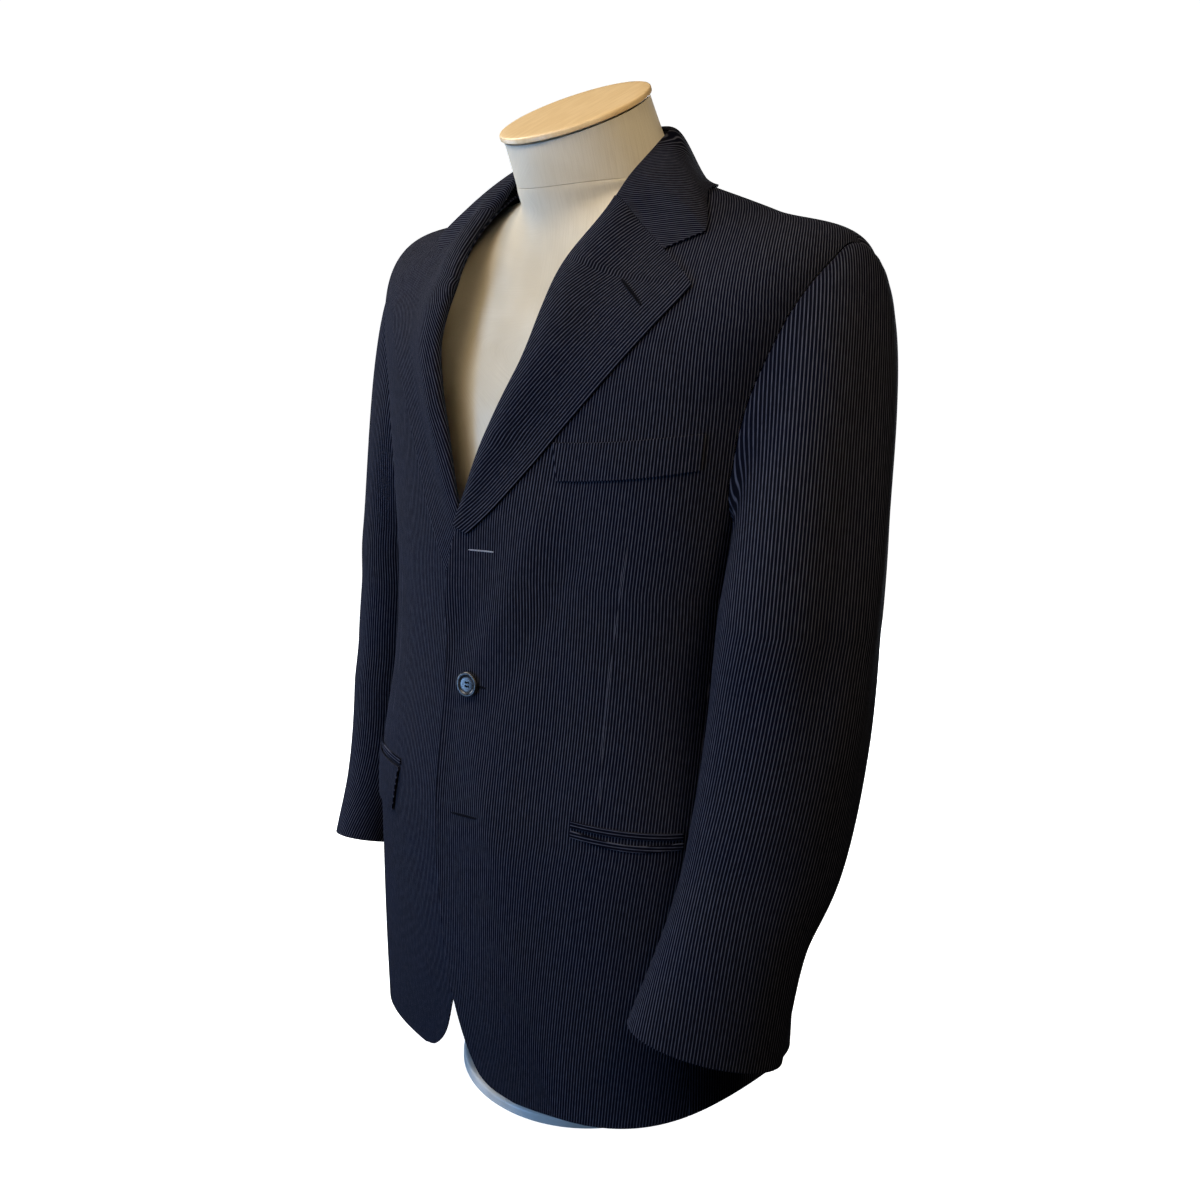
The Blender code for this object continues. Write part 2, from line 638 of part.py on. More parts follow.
def pockets(side):
    """Jets of one hip pocket, and on the wearer's right its flap."""
    start, end = POCKETS[side]
    pieces = []
    for name, rise in (("upper", 0.075), ("lower", -0.005)):
        corners = [
            Spot("", start.angle, start.level + rise), Spot("", end.angle, end.level + rise),
            Spot("", start.angle, start.level + rise - JET_WIDTH),
            Spot("", end.angle, end.level + rise - JET_WIDTH),
        ]
        if side == "right" and name == "lower":
            corners[2] = Spot("", start.angle + FLAP_RAKE, start.level - FLAP_DROP)
            corners[3] = Spot("", end.angle + 1.0, end.level - FLAP_DROP)
            pieces.append(patch("pocket_flap_right", side, corners, (4, 8), 0.0006))
        else:
            pieces.append(patch(f"pocket_jet_{name}_{side}", side, corners, (1, 8), 0.0))
    return pieces


def cloth_pieces():
    """Every cut piece of the jacket."""
    pieces = collar()
    for side in ("left", "right"):
        pieces += [front(side), side_panel(side), back(side), lapel(side)]
        pieces += sleeve(side)
        pieces += pockets(side)
    pieces.append(patch("breast_welt", "left", BREAST_WELT, (2, 10), SEAM_GAP))
    return pieces


# ---------------------------------------------------------------- Blender objects
COLOURS = {
    "suiting": ((0.012, 0.014, 0.027), 0.85),
    "horn": ((0.020, 0.019, 0.021), 0.30),
    "linen": ((0.72, 0.66, 0.56), 0.90),
    "cap": ((0.66, 0.45, 0.24), 0.60),
    "enamel": ((0.78, 0.77, 0.74), 0.45),
}


def clear_scene():
    """Take away every object the file opened with."""
    for item in list(bpy.data.objects):
        bpy.data.objects.remove(item, do_unlink=True)


def make_material(name, finish):
    """A Principled material of one colour and roughness."""
    colour, roughness = COLOURS[finish]
    material = bpy.data.materials.new(name)
    material.use_nodes = True
    shader = material.node_tree.nodes["Principled BSDF"]
    shader.inputs["Base Color"].default_value = (*colour, 1.0)
    shader.inputs["Roughness"].default_value = roughness
    return material


def add_object(name, shape, finish):
    """An object from a bmesh, its faces turned outwards."""
    bmesh.ops.recalc_face_normals(shape, faces=shape.faces)
    mesh = bpy.data.meshes.new(name)
    shape.to_mesh(mesh)
    shape.free()
    item = bpy.data.objects.new(name, mesh)
    bpy.context.scene.collection.objects.link(item)
    mesh.materials.append(make_material(name, finish))
    return item


def add_wall(piece):
    """A closed wall of cloth between a piece's two faces."""
    shape = bmesh.new()
    rows, columns = piece.outer.shape[:2]
    layers = [
        [[shape.verts.new(point) for point in row] for row in face]
        for face in (piece.outer, piece.inner)
    ]
    for face in layers:
        for row in range(rows - 1):
            for column in range(columns - 1):
                shape.faces.new((
                    face[row][column], face[row][column + 1],
                    face[row + 1][column + 1], face[row + 1][column],
                ))
    around = (
        [(0, column) for column in range(columns - 1)]
        + [(row, columns - 1) for row in range(rows - 1)]
        + [(rows - 1, column) for column in range(columns - 1, 0, -1)]
        + [(row, 0) for row in range(rows - 1, 0, -1)]
    )
    for here, there in zip(around, around[1:] + around[:1]):
        shape.faces.new((
            layers[0][here[0]][here[1]], layers[0][there[0]][there[1]],
            layers[1][there[0]][there[1]], layers[1][here[0]][here[1]],
        ))
    return add_object(piece.name, shape, piece.material)


def add_stack(name, rings, finish):
    """A closed solid through a stack of rings, its ends closed by a fan."""
    shape = bmesh.new()
    loops = [[shape.verts.new(point) for point in ring] for ring in rings]
    count = len(loops[0])
    for low, high in zip(loops, loops[1:]):
        for step in range(count):
            following = (step + 1) % count
            shape.faces.new((low[step], low[following], high[following], high[step]))
    for loop in (loops[0], loops[-1]):
        middle = sum((vertex.co for vertex in loop), Vector()) / count
        centre = shape.verts.new(middle)
        for step in range(count):
            shape.faces.new((loop[step], loop[(step + 1) % count], centre))
    return add_object(name, shape, finish)


def disc_rings(profile, segments, place):
    """Rings of a turned shape, from rows of (radius, height), put in place by a matrix."""
    turns = [2 * math.pi * step / segments for step in range(segments)]
    return [
        [place @ Vector((radius * math.cos(turn), radius * math.sin(turn), height))
         for turn in turns]
        for radius, height in profile
    ]


# ---------------------------------------------------------------- buttons
def button_profile(diameter):
    """Half section of a four-hole suit button: a flat back, a round rim, a dished face."""
    radius = diameter / 2
    height = 0.165 * diameter
    return [
        (0.80 * radius, 0.0), (0.97 * radius, 0.30 * height), (radius, 0.60 * height),
        (0.90 * radius, height), (0.76 * radius, 0.94 * height), (0.60 * radius, 0.66 * height),
    ]


def seat_matrix(point, normal):
    """A frame at a point, its Z along a normal."""
    turn = Vector(normal).to_track_quat("Z", "Y").to_matrix().to_4x4()
    return Matrix.Translation(Vector(point)) @ turn


def add_front_buttons():
    """The three front buttons, sewn to the right front along the centre line."""
    for name, level in BUTTON_LEVELS.items():
        out, lean = SEAM_GAP, 0.0
        if name == "middle":
            out, lean = out + float(lift(0.0, level)) + BUTTON_SHANK, BUTTON_LEAN
        point, above = shell(0.0, level, out), shell(0.0, level, out + 0.01)
        normal = Matrix.Rotation(lean, 3, "Z") @ Vector(above - point)
        place = seat_matrix(point, normal)
        rings = disc_rings(button_profile(FRONT_BUTTON), 20, place)
        add_stack(f"front_button_{name}", rings, "horn")


def add_cuff_buttons(side):
    """Four buttons up the hind seam of a cuff."""
    grid, axis, _, turns = sleeve_grid(side)
    column = np.interp(turns[HIND_SEAM] + CUFF_BUTTON_TURN, turns, np.arange(len(turns)))
    lines = [
        smooth_rows(np.swapaxes(grid, 0, 1), np.array([column + step]))[0]
        for step in (-0.4, 0.0, 0.4)
    ]
    steps = np.linalg.norm(np.diff(lines[1], axis=0), axis=1)
    from_cuff = steps[::-1].cumsum()[::-1]
    for number in range(CUFF_BUTTONS):
        distance = CUFF_BUTTON_START + number * CUFF_BUTTON_PITCH
        row = len(lines[1]) - 1 - np.interp(distance, np.append(0, from_cuff[::-1]),
                                           np.arange(len(lines[1])))
        behind, point, ahead = (smooth_rows(line, np.array([row]))[0] for line in lines)
        above = smooth_rows(lines[1], np.array([row - 0.4]))[0]
        centre = smooth_rows(axis[:, 0], np.array([row]))[0]
        normal = np.cross(ahead - behind, above - point)
        normal = unit(normal * np.sign(np.dot(normal, point - centre)))
        point = point + normal * CUFF_BUTTON_SEAT
        if side == "right":
            point, normal = mirror(point), mirror(normal)
        rings = disc_rings(button_profile(CUFF_BUTTON), 12, seat_matrix(point, normal))
        add_stack(f"cuff_button_{side}_{number + 1}", rings, "horn")


# ---------------------------------------------------------------- the form and its foot
def add_form():
    """The torso, its neck, and the tilted cap on the neck."""
    angles = np.arange(FORM_SEGMENTS) * 360 / FORM_SEGMENTS
    levels = np.linspace(0, len(FORM_RINGS) - 1, FORM_LEVELS)
    torso = [[Vector(point) for point in ring_surface(FORM_RINGS, angles, level)]
             for level in levels]
    add_stack("form_torso", torso, "linen")
    lift_up = Vector((0, 0, SEAM_GAP))
    foot = [point + lift_up for point in torso[-1]]
    seat = Matrix.Translation(Vector(NECK_TOP)) @ Matrix.Rotation(CAP_TILT, 4, "X")
    top = disc_rings([(NECK_RADIUS, 0.0)], FORM_SEGMENTS, seat)[0]
    quarter = FORM_SEGMENTS // 4
    top = top[-quarter:] + top[:-quarter]
    neck = [
        [low.lerp(high, share) for low, high in zip(foot, top)]
        for share in (0.0, 0.25, 0.5, 0.75, 1.0)
    ]
    add_stack("form_neck", neck, "linen")
    edge = NECK_RADIUS + CAP_RIM
    profile = [
        (edge - 0.0020, SEAM_GAP), (edge, SEAM_GAP + 0.0012),
        (edge, CAP_THICKNESS - 0.0010), (edge - 0.0018, CAP_THICKNESS),
    ]
    add_stack("form_cap", disc_rings(profile, 40, seat), "cap")


def add_foot():
    """The pole under the torso and the round plate it stands on."""
    foot_z = FORM_RINGS[0].front_z
    profile = [(POLE_RADIUS, BASE_HEIGHT + SEAM_GAP), (POLE_RADIUS, foot_z - SEAM_GAP)]
    add_stack("stand_pole", disc_rings(profile, 24, Matrix()), "enamel")
    plate = [
        (BASE_RADIUS, 0.0), (BASE_RADIUS, BASE_HEIGHT - 0.003),
        (BASE_RADIUS - 0.003, BASE_HEIGHT),
    ]
    add_stack("stand_base", disc_rings(plate, 48, Matrix()), "enamel")


def main():
    """Build every piece."""
    clear_scene()
    for piece in cloth_pieces():
        add_wall(piece)
    add_front_buttons()
    for side in ("left", "right"):
        add_cuff_buttons(side)
    add_form()
    add_foot()


if __name__ == "__main__":
    main()
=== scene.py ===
"""Looks of a three-button suit jacket on a limbless tailor's form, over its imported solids.

The solids settle every place and size.  From the same girth rings and cutting lines this
script lays a fine shell of cloth over each of them, and adds what a solid is too coarse for:
drape folds, rolled lapels, turned edges, worked buttonholes, drilled buttons and the weave.

Units are metres, +Z is up and the wearer faces -Y, so the wearer's left is +X.  A place on
the body is an angle round it (0 centre front, 90 the wearer's left side, 180 centre back)
and a level, which counts the girth rings from the hem up.
"""

from __future__ import annotations

import logging
import math
from dataclasses import dataclass
from enum import Enum
from functools import cached_property
from typing import NamedTuple

import bpy
import numpy as np
from mathutils import Matrix, Vector
from mathutils.bvhtree import BVHTree

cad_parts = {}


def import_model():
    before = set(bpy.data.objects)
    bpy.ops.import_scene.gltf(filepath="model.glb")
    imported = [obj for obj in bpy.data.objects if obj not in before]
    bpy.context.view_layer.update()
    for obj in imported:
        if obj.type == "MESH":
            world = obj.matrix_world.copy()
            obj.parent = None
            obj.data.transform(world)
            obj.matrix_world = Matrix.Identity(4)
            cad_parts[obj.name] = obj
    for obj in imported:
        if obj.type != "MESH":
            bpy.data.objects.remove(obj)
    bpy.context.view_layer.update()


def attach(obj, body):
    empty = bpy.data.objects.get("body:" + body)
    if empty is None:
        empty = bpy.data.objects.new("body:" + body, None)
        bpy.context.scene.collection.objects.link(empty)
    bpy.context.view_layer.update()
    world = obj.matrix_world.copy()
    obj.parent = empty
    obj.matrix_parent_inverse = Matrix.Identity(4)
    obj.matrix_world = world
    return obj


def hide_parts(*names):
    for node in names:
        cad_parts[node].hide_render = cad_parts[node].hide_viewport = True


LOG = logging.getLogger("suit_jacket")
BODY = "root"
Grid = np.ndarray
Pair, Triple = tuple[float, float], tuple[float, float, float]
Values = dict[str | int, object]  # of a node's settings or sockets
Rows = tuple[tuple[str, str, Values, Values | tuple], ...]
SMOOTH, COLOUR = {"interpolation_type": "SMOOTHSTEP"}, {"data_type": "RGBA"}
TIMES, PLUS = {"operation": "MULTIPLY"}, {"operation": "ADD"}
SHADER = "Principled BSDF", "BsdfPrincipled", {}

CLOTH = 0.0018  # wall of the body and sleeves
SEAM_GAP = 0.0003  # between pieces that are sewn together
FINE = 7  # fine cells in each cell of the solids' grids
TUBE_ASIDE = np.array([0.31, 0.17, 0.93])  # no tube here runs along this


# ---------------- rows of the tables
class Side(Enum):
    """The wearer's side, and its sign along X."""

    LEFT = 1
    RIGHT = -1

    @property
    def word(self) -> str:
        """The side as the nodes name it."""
        return self.name.lower()

    @property
    def flip(self) -> Grid:
        """Factors that carry a point of the wearer's left over to this side."""
        return np.array([float(self.value), 1.0, 1.0])


class Held(Enum):
    """How a piece of cloth holds its shape."""

    DRAPED = "draped"
    FOLDED = "folded"


class Ring(NamedTuple):
    """One girth line: its height at each side, half width, depths, and how square it is."""

    name: str
    front_z: float
    left_z: float
    right_z: float
    back_z: float
    half_width: float
    front: float
    back: float
    square: float


class Spot(NamedTuple):
    """A place on the body: an angle in degrees and a level."""

    name: str
    angle: float
    level: float


class Place(NamedTuple):
    """A point in space, on the wearer's left."""

    name: str
    x: float
    y: float
    z: float


class ArmGirth(NamedTuple):
    """One girth of a sleeve: its centre, half length and half width, and its turn inwards."""

    name: str
    x: float
    y: float
    z: float
    long: float
    short: float
    turn: float


class Crease(NamedTuple):
    """A soft ridge, or a trough where its rise is negative, between two places on the cloth.

    Across is the cloth's distance round the body from the centre front, or the turn round
    the arm in degrees on a sleeve.  Height is Z.
    """

    name: str
    across: float
    height: float
    to_across: float
    to_height: float
    rise: float
    width: float


class Drape(NamedTuple):
    """How the collar's fall comes down at one of its cells, counted from the gorge.

    It has two inner control points, each given as shares of the way out and down.
    """

    cell: float
    near_out: float
    near_down: float
    far_out: float
    far_down: float


# ---------------- the cut of the jacket
JACKET_RINGS = (
    Ring("hem", 0.036, 0.078, 0.032, 0.050, 0.207, 0.139, 0.112, 0.05),
    Ring("seat", 0.112, 0.140, 0.112, 0.120, 0.206, 0.148, 0.116, 0.045),
    Ring("hip", 0.200, 0.214, 0.200, 0.206, 0.206, 0.152, 0.118, 0.045),
    Ring("pocket", 0.290, 0.298, 0.292, 0.294, 0.203, 0.152, 0.113, 0.05),
    Ring("waist", 0.385, 0.390, 0.388, 0.388, 0.190, 0.143, 0.106, 0.05),
    Ring("rib", 0.460, 0.465, 0.465, 0.465, 0.190, 0.138, 0.110, 0.05),
    Ring("chest", 0.530, 0.540, 0.540, 0.535, 0.198, 0.137, 0.120, 0.05),
    Ring("breast", 0.590, 0.635, 0.640, 0.600, 0.212, 0.134, 0.124, 0.05),
    Ring("shoulder", 0.645, 0.740, 0.750, 0.670, 0.238, 0.131, 0.112, 0.02),
    Ring("yoke", 0.700, 0.770, 0.776, 0.735, 0.160, 0.120, 0.086, 0.0),
    Ring("neck", 0.740, 0.797, 0.799, 0.800, 0.078, 0.100, 0.045, 0.0),
)
FORM_RINGS = (
    Ring("foot", 0.100, 0.100, 0.100, 0.100, 0.176, 0.118, 0.092, 0.02),
    Ring("hip", 0.205, 0.205, 0.205, 0.205, 0.180, 0.124, 0.098, 0.02),
    Ring("waist", 0.370, 0.370, 0.370, 0.370, 0.155, 0.106, 0.085, 0.0),
    Ring("rib", 0.460, 0.460, 0.460, 0.460, 0.163, 0.112, 0.092, 0.0),
    Ring("chest", 0.545, 0.540, 0.540, 0.545, 0.178, 0.118, 0.104, 0.0),
    Ring("breast", 0.610, 0.635, 0.635, 0.610, 0.190, 0.114, 0.108, 0.0),
    Ring("shoulder", 0.665, 0.732, 0.742, 0.672, 0.214, 0.098, 0.098, 0.0),
    Ring("yoke", 0.708, 0.7682, 0.7742, 0.731, 0.157, 0.086, 0.080, 0.0),
    Ring("neck", 0.752, 0.7912, 0.7932, 0.791, 0.075, 0.082, 0.037, 0.0),
    Ring("neck seam", 0.7835, 0.796, 0.798, 0.799, 0.0655, 0.0915, 0.0350, 0.0),
)
FRONT_EDGE = {
    Side.LEFT: (
        Spot("hem", 12.0, 0.03), Spot("round", 4.0, 0.13), Spot("round", 0.4, 0.40),
        Spot("cutaway", -2.6, 0.95), Spot("cutaway", -5.2, 1.70), Spot("skirt", -6.8, 2.6),
        Spot("low button", -7.2, 3.4), Spot("button", -7.6, 4.2),
        Spot("top button", -7.6, 5.0), Spot("break", -6.2, 5.60),
    ),
    Side.RIGHT: (
        Spot("hem", 17.0, 0.03), Spot("round", 12.6, 0.13), Spot("round", 8.2, 0.45),
        Spot("cutaway", 4.6, 1.00), Spot("cutaway", 0.0, 1.70), Spot("skirt", -4.0, 2.5),
        Spot("low button", -6.5, 3.3), Spot("button", -7.0, 3.9), Spot("button", -7.0, 4.3),
        Spot("break", -6.6, 4.70),
    ),
}
ROLL = {
    Side.LEFT: (
        Spot("break", -6.2, 5.60), Spot("roll", -2.6, 6.38), Spot("roll", 1.9, 7.19),
        Spot("roll", 7.8, 7.97), Spot("roll", 16.0, 8.74), Spot("roll", 27.5, 9.38),
        Spot("gorge", 50.0, 9.90),
    ),
    Side.RIGHT: (
        Spot("break", -6.6, 4.70), Spot("roll", 1.5, 5.30), Spot("roll", 8.0, 6.15),
        Spot("roll", 12.2, 7.20), Spot("roll", 16.0, 8.05), Spot("roll", 27.0, 9.05),
        Spot("gorge", 50.0, 9.75),
    ),
}
NECKLINE = (Spot("under collar", 68.0, 9.97), Spot("side neck", 90.0, 10.0))
LAPEL_EDGE = {
    Side.LEFT: (
        Spot("break", -6.2, 5.60), Spot("edge", 5.0, 6.22), Spot("edge", 17.6, 7.19),
        Spot("edge", 26.0, 7.72), Spot("edge", 34.5, 8.05), Spot("tip", 45.6, 8.31),
    ),
    Side.RIGHT: (
        Spot("break", -6.6, 4.70), Spot("edge", 9.0, 5.18), Spot("edge", 17.0, 5.85),
        Spot("edge", 23.0, 6.70), Spot("edge", 31.0, 7.60), Spot("tip", 45.6, 8.35),
    ),
}
LAPEL_RISE = {Side.LEFT: (0.0, 0.35), Side.RIGHT: (0.22, 0.55)}
NOTCH = Spot("notch", 48.0, 8.90)
COLLAR_EDGE = (
    Spot("tip", 59.3, 8.86), Spot("front", 76.0, 9.46), Spot("side", 97.0, 9.71),
    Spot("back", 135.0, 9.84), Spot("centre back", 180.0, 9.90),
)
COLLAR_FOLD = (
    Place("front", 0.0690, -0.055, 0.7960), Place("side", 0.0672, -0.024, 0.8215),
    Place("back", 0.0475, 0.011, 0.8390), Place("centre back", 0.0, 0.031, 0.8440),
)
COLLAR_DRAPE = (
    Drape(5.0, 0.41, 0.07, 0.75, 0.45), Drape(7.5, 0.36, 0.0, 0.50, 0.90),
    Drape(9.0, 0.36, 0.0, 0.50, 0.90), Drape(11.0, 0.41, 0.07, 0.75, 0.40),
)
SIDE_SEAMS = {
    "front": (Spot("hem", 61.0, 0.0), Spot("hip", 61.5, 2.0), Spot("waist", 64.0, 4.0),
              Spot("armhole", 69.0, 5.9)),
    "back": (Spot("hem", 116.0, 0.0), Spot("hip", 117.0, 2.0), Spot("waist", 118.0, 4.0),
             Spot("armhole", 112.0, 5.9)),
}
ARMHOLE = (
    Spot("shoulder", 90.0, 8.06), Spot("front head", 76.6, 7.93), Spot("front", 67.0, 7.66),
    Spot("front", 63.6, 7.25), Spot("front", 62.6, 6.68), Spot("front low", 64.5, 6.18),
    Spot("underarm", 76.0, 5.82), Spot("underarm", 92.0, 5.74), Spot("underarm", 106.0, 5.86),
    Spot("back low", 115.5, 6.30), Spot("back", 118.0, 6.95), Spot("back", 112.5, 7.62),
)
# How the warp of a front leans, metre for metre, above its waist and below its pocket.
CHEST_LEAN, SKIRT_LEAN, GRAIN_EASE = 0.10, 0.115, (0.0, 0.10)
SKIRT_TOP, WAIST_TOP, CHEST_TOP = 0.29, 0.49, 0.69
ARMHOLE_CELLS = 30  # round an armhole

SLEEVES = {
    Side.LEFT: (
        ArmGirth("bicep", 0.2505, -0.061, 0.480, 0.064, 0.049, 18.0),
        ArmGirth("elbow", 0.250, -0.066, 0.400, 0.062, 0.049, 27.0),
        ArmGirth("forearm", 0.2439, -0.0758, 0.314, 0.0585, 0.045, 36.0),
        ArmGirth("low", 0.2365, -0.0945, 0.252, 0.0525, 0.040, 41.0),
        ArmGirth("cuff", 0.226, -0.112, 0.167, 0.060, 0.037, 43.0),
    ),
    Side.RIGHT: (
        ArmGirth("bicep", 0.234, -0.024, 0.480, 0.057, 0.042, 8.0),
        ArmGirth("elbow", 0.240, -0.030, 0.395, 0.056, 0.041, 12.0),
        ArmGirth("forearm", 0.245, -0.036, 0.290, 0.056, 0.036, 15.0),
        ArmGirth("low", 0.243, -0.048, 0.225, 0.055, 0.035, 18.0),
        ArmGirth("cuff", 0.238, -0.066, 0.167, 0.058, 0.035, 20.0),
    ),
}
SLEEVE_CREASES = (
    Crease("outer trough", 10.0, 0.70, 10.0, 0.38, -0.0045, 22.0),
    Crease("hind trough", 312.0, 0.66, 312.0, 0.34, -0.0045, 20.0),
    Crease("elbow", 60.0, 0.46, 60.0, 0.34, -0.0030, 30.0),
)
BODY_CREASES = (
    Crease("pull from button", -0.010, 0.385, 0.075, 0.560, 0.0026, 0.016),
    Crease("beside the pull", 0.022, 0.375, 0.100, 0.530, -0.0022, 0.014),
    Crease("under button", 0.000, 0.360, 0.050, 0.250, 0.0012, 0.014),
)

BREAST_WELT = (
    Spot("top front", 15.8, 7.04), Spot("top back", 52.3, 6.90),
    Spot("bottom front", 18.0, 6.58), Spot("bottom back", 53.2, 6.59),
)
POCKETS = {
    Side.LEFT: (Spot("pocket front", 27.5, 3.14), Spot("pocket back", 57.5, 3.10)),
    Side.RIGHT: (Spot("pocket front", 25.0, 3.08), Spot("pocket back", 55.0, 3.04)),
}
BUTTON_LEVELS = {"top": 5.62, "middle": 4.15, "bottom": 2.95}


# ---------------- curves and grids
def numbers(table: tuple[NamedTuple, ...]) -> Grid:
    """A table's rows without their names."""
    return np.array([row[1:] for row in table])


def smooth_rows(rows: Grid, position: Grid) -> Grid:
    """Catmull-Rom curve through the rows of an array.

    Args:
        rows: one row of numbers for each point of the curve.
        position: where to read it, in rows from the first.

    Returns:
        A row for each position.
    """
    ends = np.concatenate([2 * rows[:1] - rows[1:2], rows, 2 * rows[-1:] - rows[-2:-1]])
    position = np.clip(np.asarray(position, float), 0, len(rows) - 1)
    row = np.minimum(position.astype(int), len(rows) - 2)
    part = (position - row).reshape(position.shape + (1,) * (rows.ndim - 1))
    before, here, there, after = (ends[row + step] for step in range(4))
    return here + 0.5 * part * (
        there - before
        + part * (2 * before - 5 * here + 4 * there - after
                  + part * (3 * (here - there) + after - before))
    )


def resample(rows: Grid, cells: int) -> Grid:
    """The smooth curve through an array's rows, as cells + 1 rows."""
    return smooth_rows(rows, np.linspace(0, len(rows) - 1, cells + 1))


def trace(spots: tuple[Spot, ...], cells: int) -> Grid:
    """A smooth line through the spots, as cells + 1 rows of (angle, level)."""
    return resample(numbers(spots), cells)


def rule(first: Grid, last: Grid, cells: int) -> Grid:
    """Rows of points from each point of one line to the same point of another."""
    share = np.linspace(0, 1, cells + 1)[None, :, None]
    return first[:, None] * (1 - share) + last[:, None] * share


def straight(start: Grid, end: Grid, cells: int) -> Grid:
    """A straight line, as cells + 1 points."""
    return rule(np.array([start]), np.array([end]), cells)[0]


def runs(line: Grid) -> Grid:
    """The distance along a line of points to each of them."""
    return np.append(0, np.linalg.norm(np.diff(line, axis=0), axis=1)).cumsum()


def girths(grid: Grid) -> Grid:
    """The distance along each row of a grid of points to each of its points."""
    steps = np.linalg.norm(np.diff(grid, axis=1), axis=-1)
    return np.concatenate([np.zeros((len(steps), 1)), steps.cumsum(1)], axis=1)


def ease(value: Grid | float, low: float, high: float) -> Grid:
    """0 at or below low, 1 at or above high, smooth between."""
    share = np.clip((np.asarray(value, float) - low) / (high - low), 0, 1)
    return share * share * (3 - 2 * share)


def unit(vectors: Grid) -> Grid:
    """The vectors at length 1."""
    return vectors / np.maximum(np.linalg.norm(vectors, axis=-1, keepdims=True), 1e-12)


def normals(grid: Grid, centre: Grid) -> Grid:
    """Unit normals of a grid of points, on the side away from a centre."""
    normal = unit(np.cross(np.gradient(grid, axis=0), np.gradient(grid, axis=1)))
    return normal * np.sign(np.sum(normal * (grid - centre), -1, keepdims=True))


def read_table(table: Grid, row: Grid, column: Grid) -> Grid:
    """A table read between its cells.

    Args:
        table: its numbers.
        row: the rows to read, with fractions.
        column: the columns to read, with fractions.

    Returns:
        A number for each row and column.
    """
    row = np.clip(row, 0, table.shape[0] - 1.001)
    column = np.clip(column, 0, table.shape[1] - 1.001)
    low, left = row.astype(int), column.astype(int)
    up, along = row - low, column - left
    near = table[low, left] * (1 - along) + table[low, left + 1] * along
    far = table[low + 1, left] * (1 - along) + table[low + 1, left + 1] * along
    return near * (1 - up) + far * up


def relief(creases: tuple[Crease, ...], across: Grid, height: Grid, turn: float = 0.0) -> Grid:
    """How far creases push the cloth out.

    Args:
        creases: their table.
        across: each point's place across the cloth.
        height: each point's height.
        turn: the whole turn that across wraps round after, or 0 where it doesn't wrap.

    Returns:
        The rise at each point, in metres.
    """
    rise = np.zeros(np.shape(height))
    for crease in creases:
        share = (height - crease.height) / (crease.to_height - crease.height + 1e-9)
        along = np.clip(share, 0, 1)
        away = across - (crease.across + (crease.to_across - crease.across) * along)
        if turn:
            away = (away + turn / 2) % turn - turn / 2
        fade = ease(share, -0.12, 0.28) * (1 - ease(share, 0.72, 1.12))
        rise = rise + crease.rise * np.exp(-((away / crease.width) ** 2)) * fade
    return rise


# ---------------- the body
@dataclass(frozen=True)
class Block:
    """A body as one smooth surface through girth rings, with its creases."""

    rings: tuple[Ring, ...]
    creases: tuple[Crease, ...] = ()
    steps_each_level: int = 10

    @property
    def top(self) -> float:
        """Its highest level."""
        return len(self.rings) - 1.0

    def bare(self, angle: Grid, level: Grid) -> Grid:
        """Points on the surface before it creases.

        Args:
            angle: their angles, in degrees.
            level: their levels.

        Returns:
            The points.
        """
        angle, level = np.broadcast_arrays(np.asarray(angle, float), np.asarray(level, float))
        front_z, left_z, right_z, back_z, width, front, back, square = np.moveaxis(
            smooth_rows(numbers(self.rings), level), -1, 0
        )
        turn = np.radians(angle)
        sine, cosine = np.sin(turn), np.cos(turn)
        across = (sine + square * np.sin(3 * turn)) / (1 - square)
        along = (cosine - square * np.cos(3 * turn)) / (1 - square)
        depth = np.where(cosine > 0, front, back)
        end_z = np.where(cosine > 0, front_z, back_z)
        side_z = np.where(sine > 0, left_z, right_z)
        return np.stack([width * across, -depth * along, end_z + (side_z - end_z) * sine**2], -1)

    def outward(self, angle: Grid, level: Grid) -> Grid:
        """Unit normals of the surface.

        Args:
            angle: the points' angles, in degrees.
            level: their levels.

        Returns:
            A normal for each point.
        """
        angle, level = np.broadcast_arrays(np.asarray(angle, float), np.asarray(level, float))
        low, high = np.clip(level - 0.02, 0, self.top), np.clip(level + 0.02, 0, self.top)
        around = self.bare(angle + 0.5, level) - self.bare(angle - 0.5, level)
        return unit(np.cross(around, self.bare(angle, high) - self.bare(angle, low)))

    @cached_property
    def girths(self) -> Grid:
        """Length round the surface from the centre front, by level and whole degree."""
        levels = np.linspace(0, self.top, int(self.top) * self.steps_each_level + 1)
        return girths(self.bare(np.linspace(0, 180, 181)[None], levels[:, None]))

    def across(self, angle: Grid, level: Grid) -> Grid:
        """Length of cloth from the centre front to each point.

        Args:
            angle: the points' angles, in degrees.
            level: their levels.

        Returns:
            The lengths, negative on the wearer's right.
        """
        angle, level = np.broadcast_arrays(np.asarray(angle, float), np.asarray(level, float))
        girth = read_table(self.girths, level * self.steps_each_level, np.abs(angle))
        return np.sign(angle) * girth

    def face(self, angle: Grid, level: Grid, out: Grid | float = 0.0) -> Grid:
        """Points on the creased surface, moved out along its normal.

        Args:
            angle: their angles, in degrees.
            level: their levels.
            out: how far each is moved out.

        Returns:
            The points.
        """
        points = self.bare(angle, level)
        rise = relief(self.creases, self.across(angle, level), points[..., 2])
        return points + self.outward(angle, level) * (rise + out)[..., None]


JACKET = Block(JACKET_RINGS, BODY_CREASES)


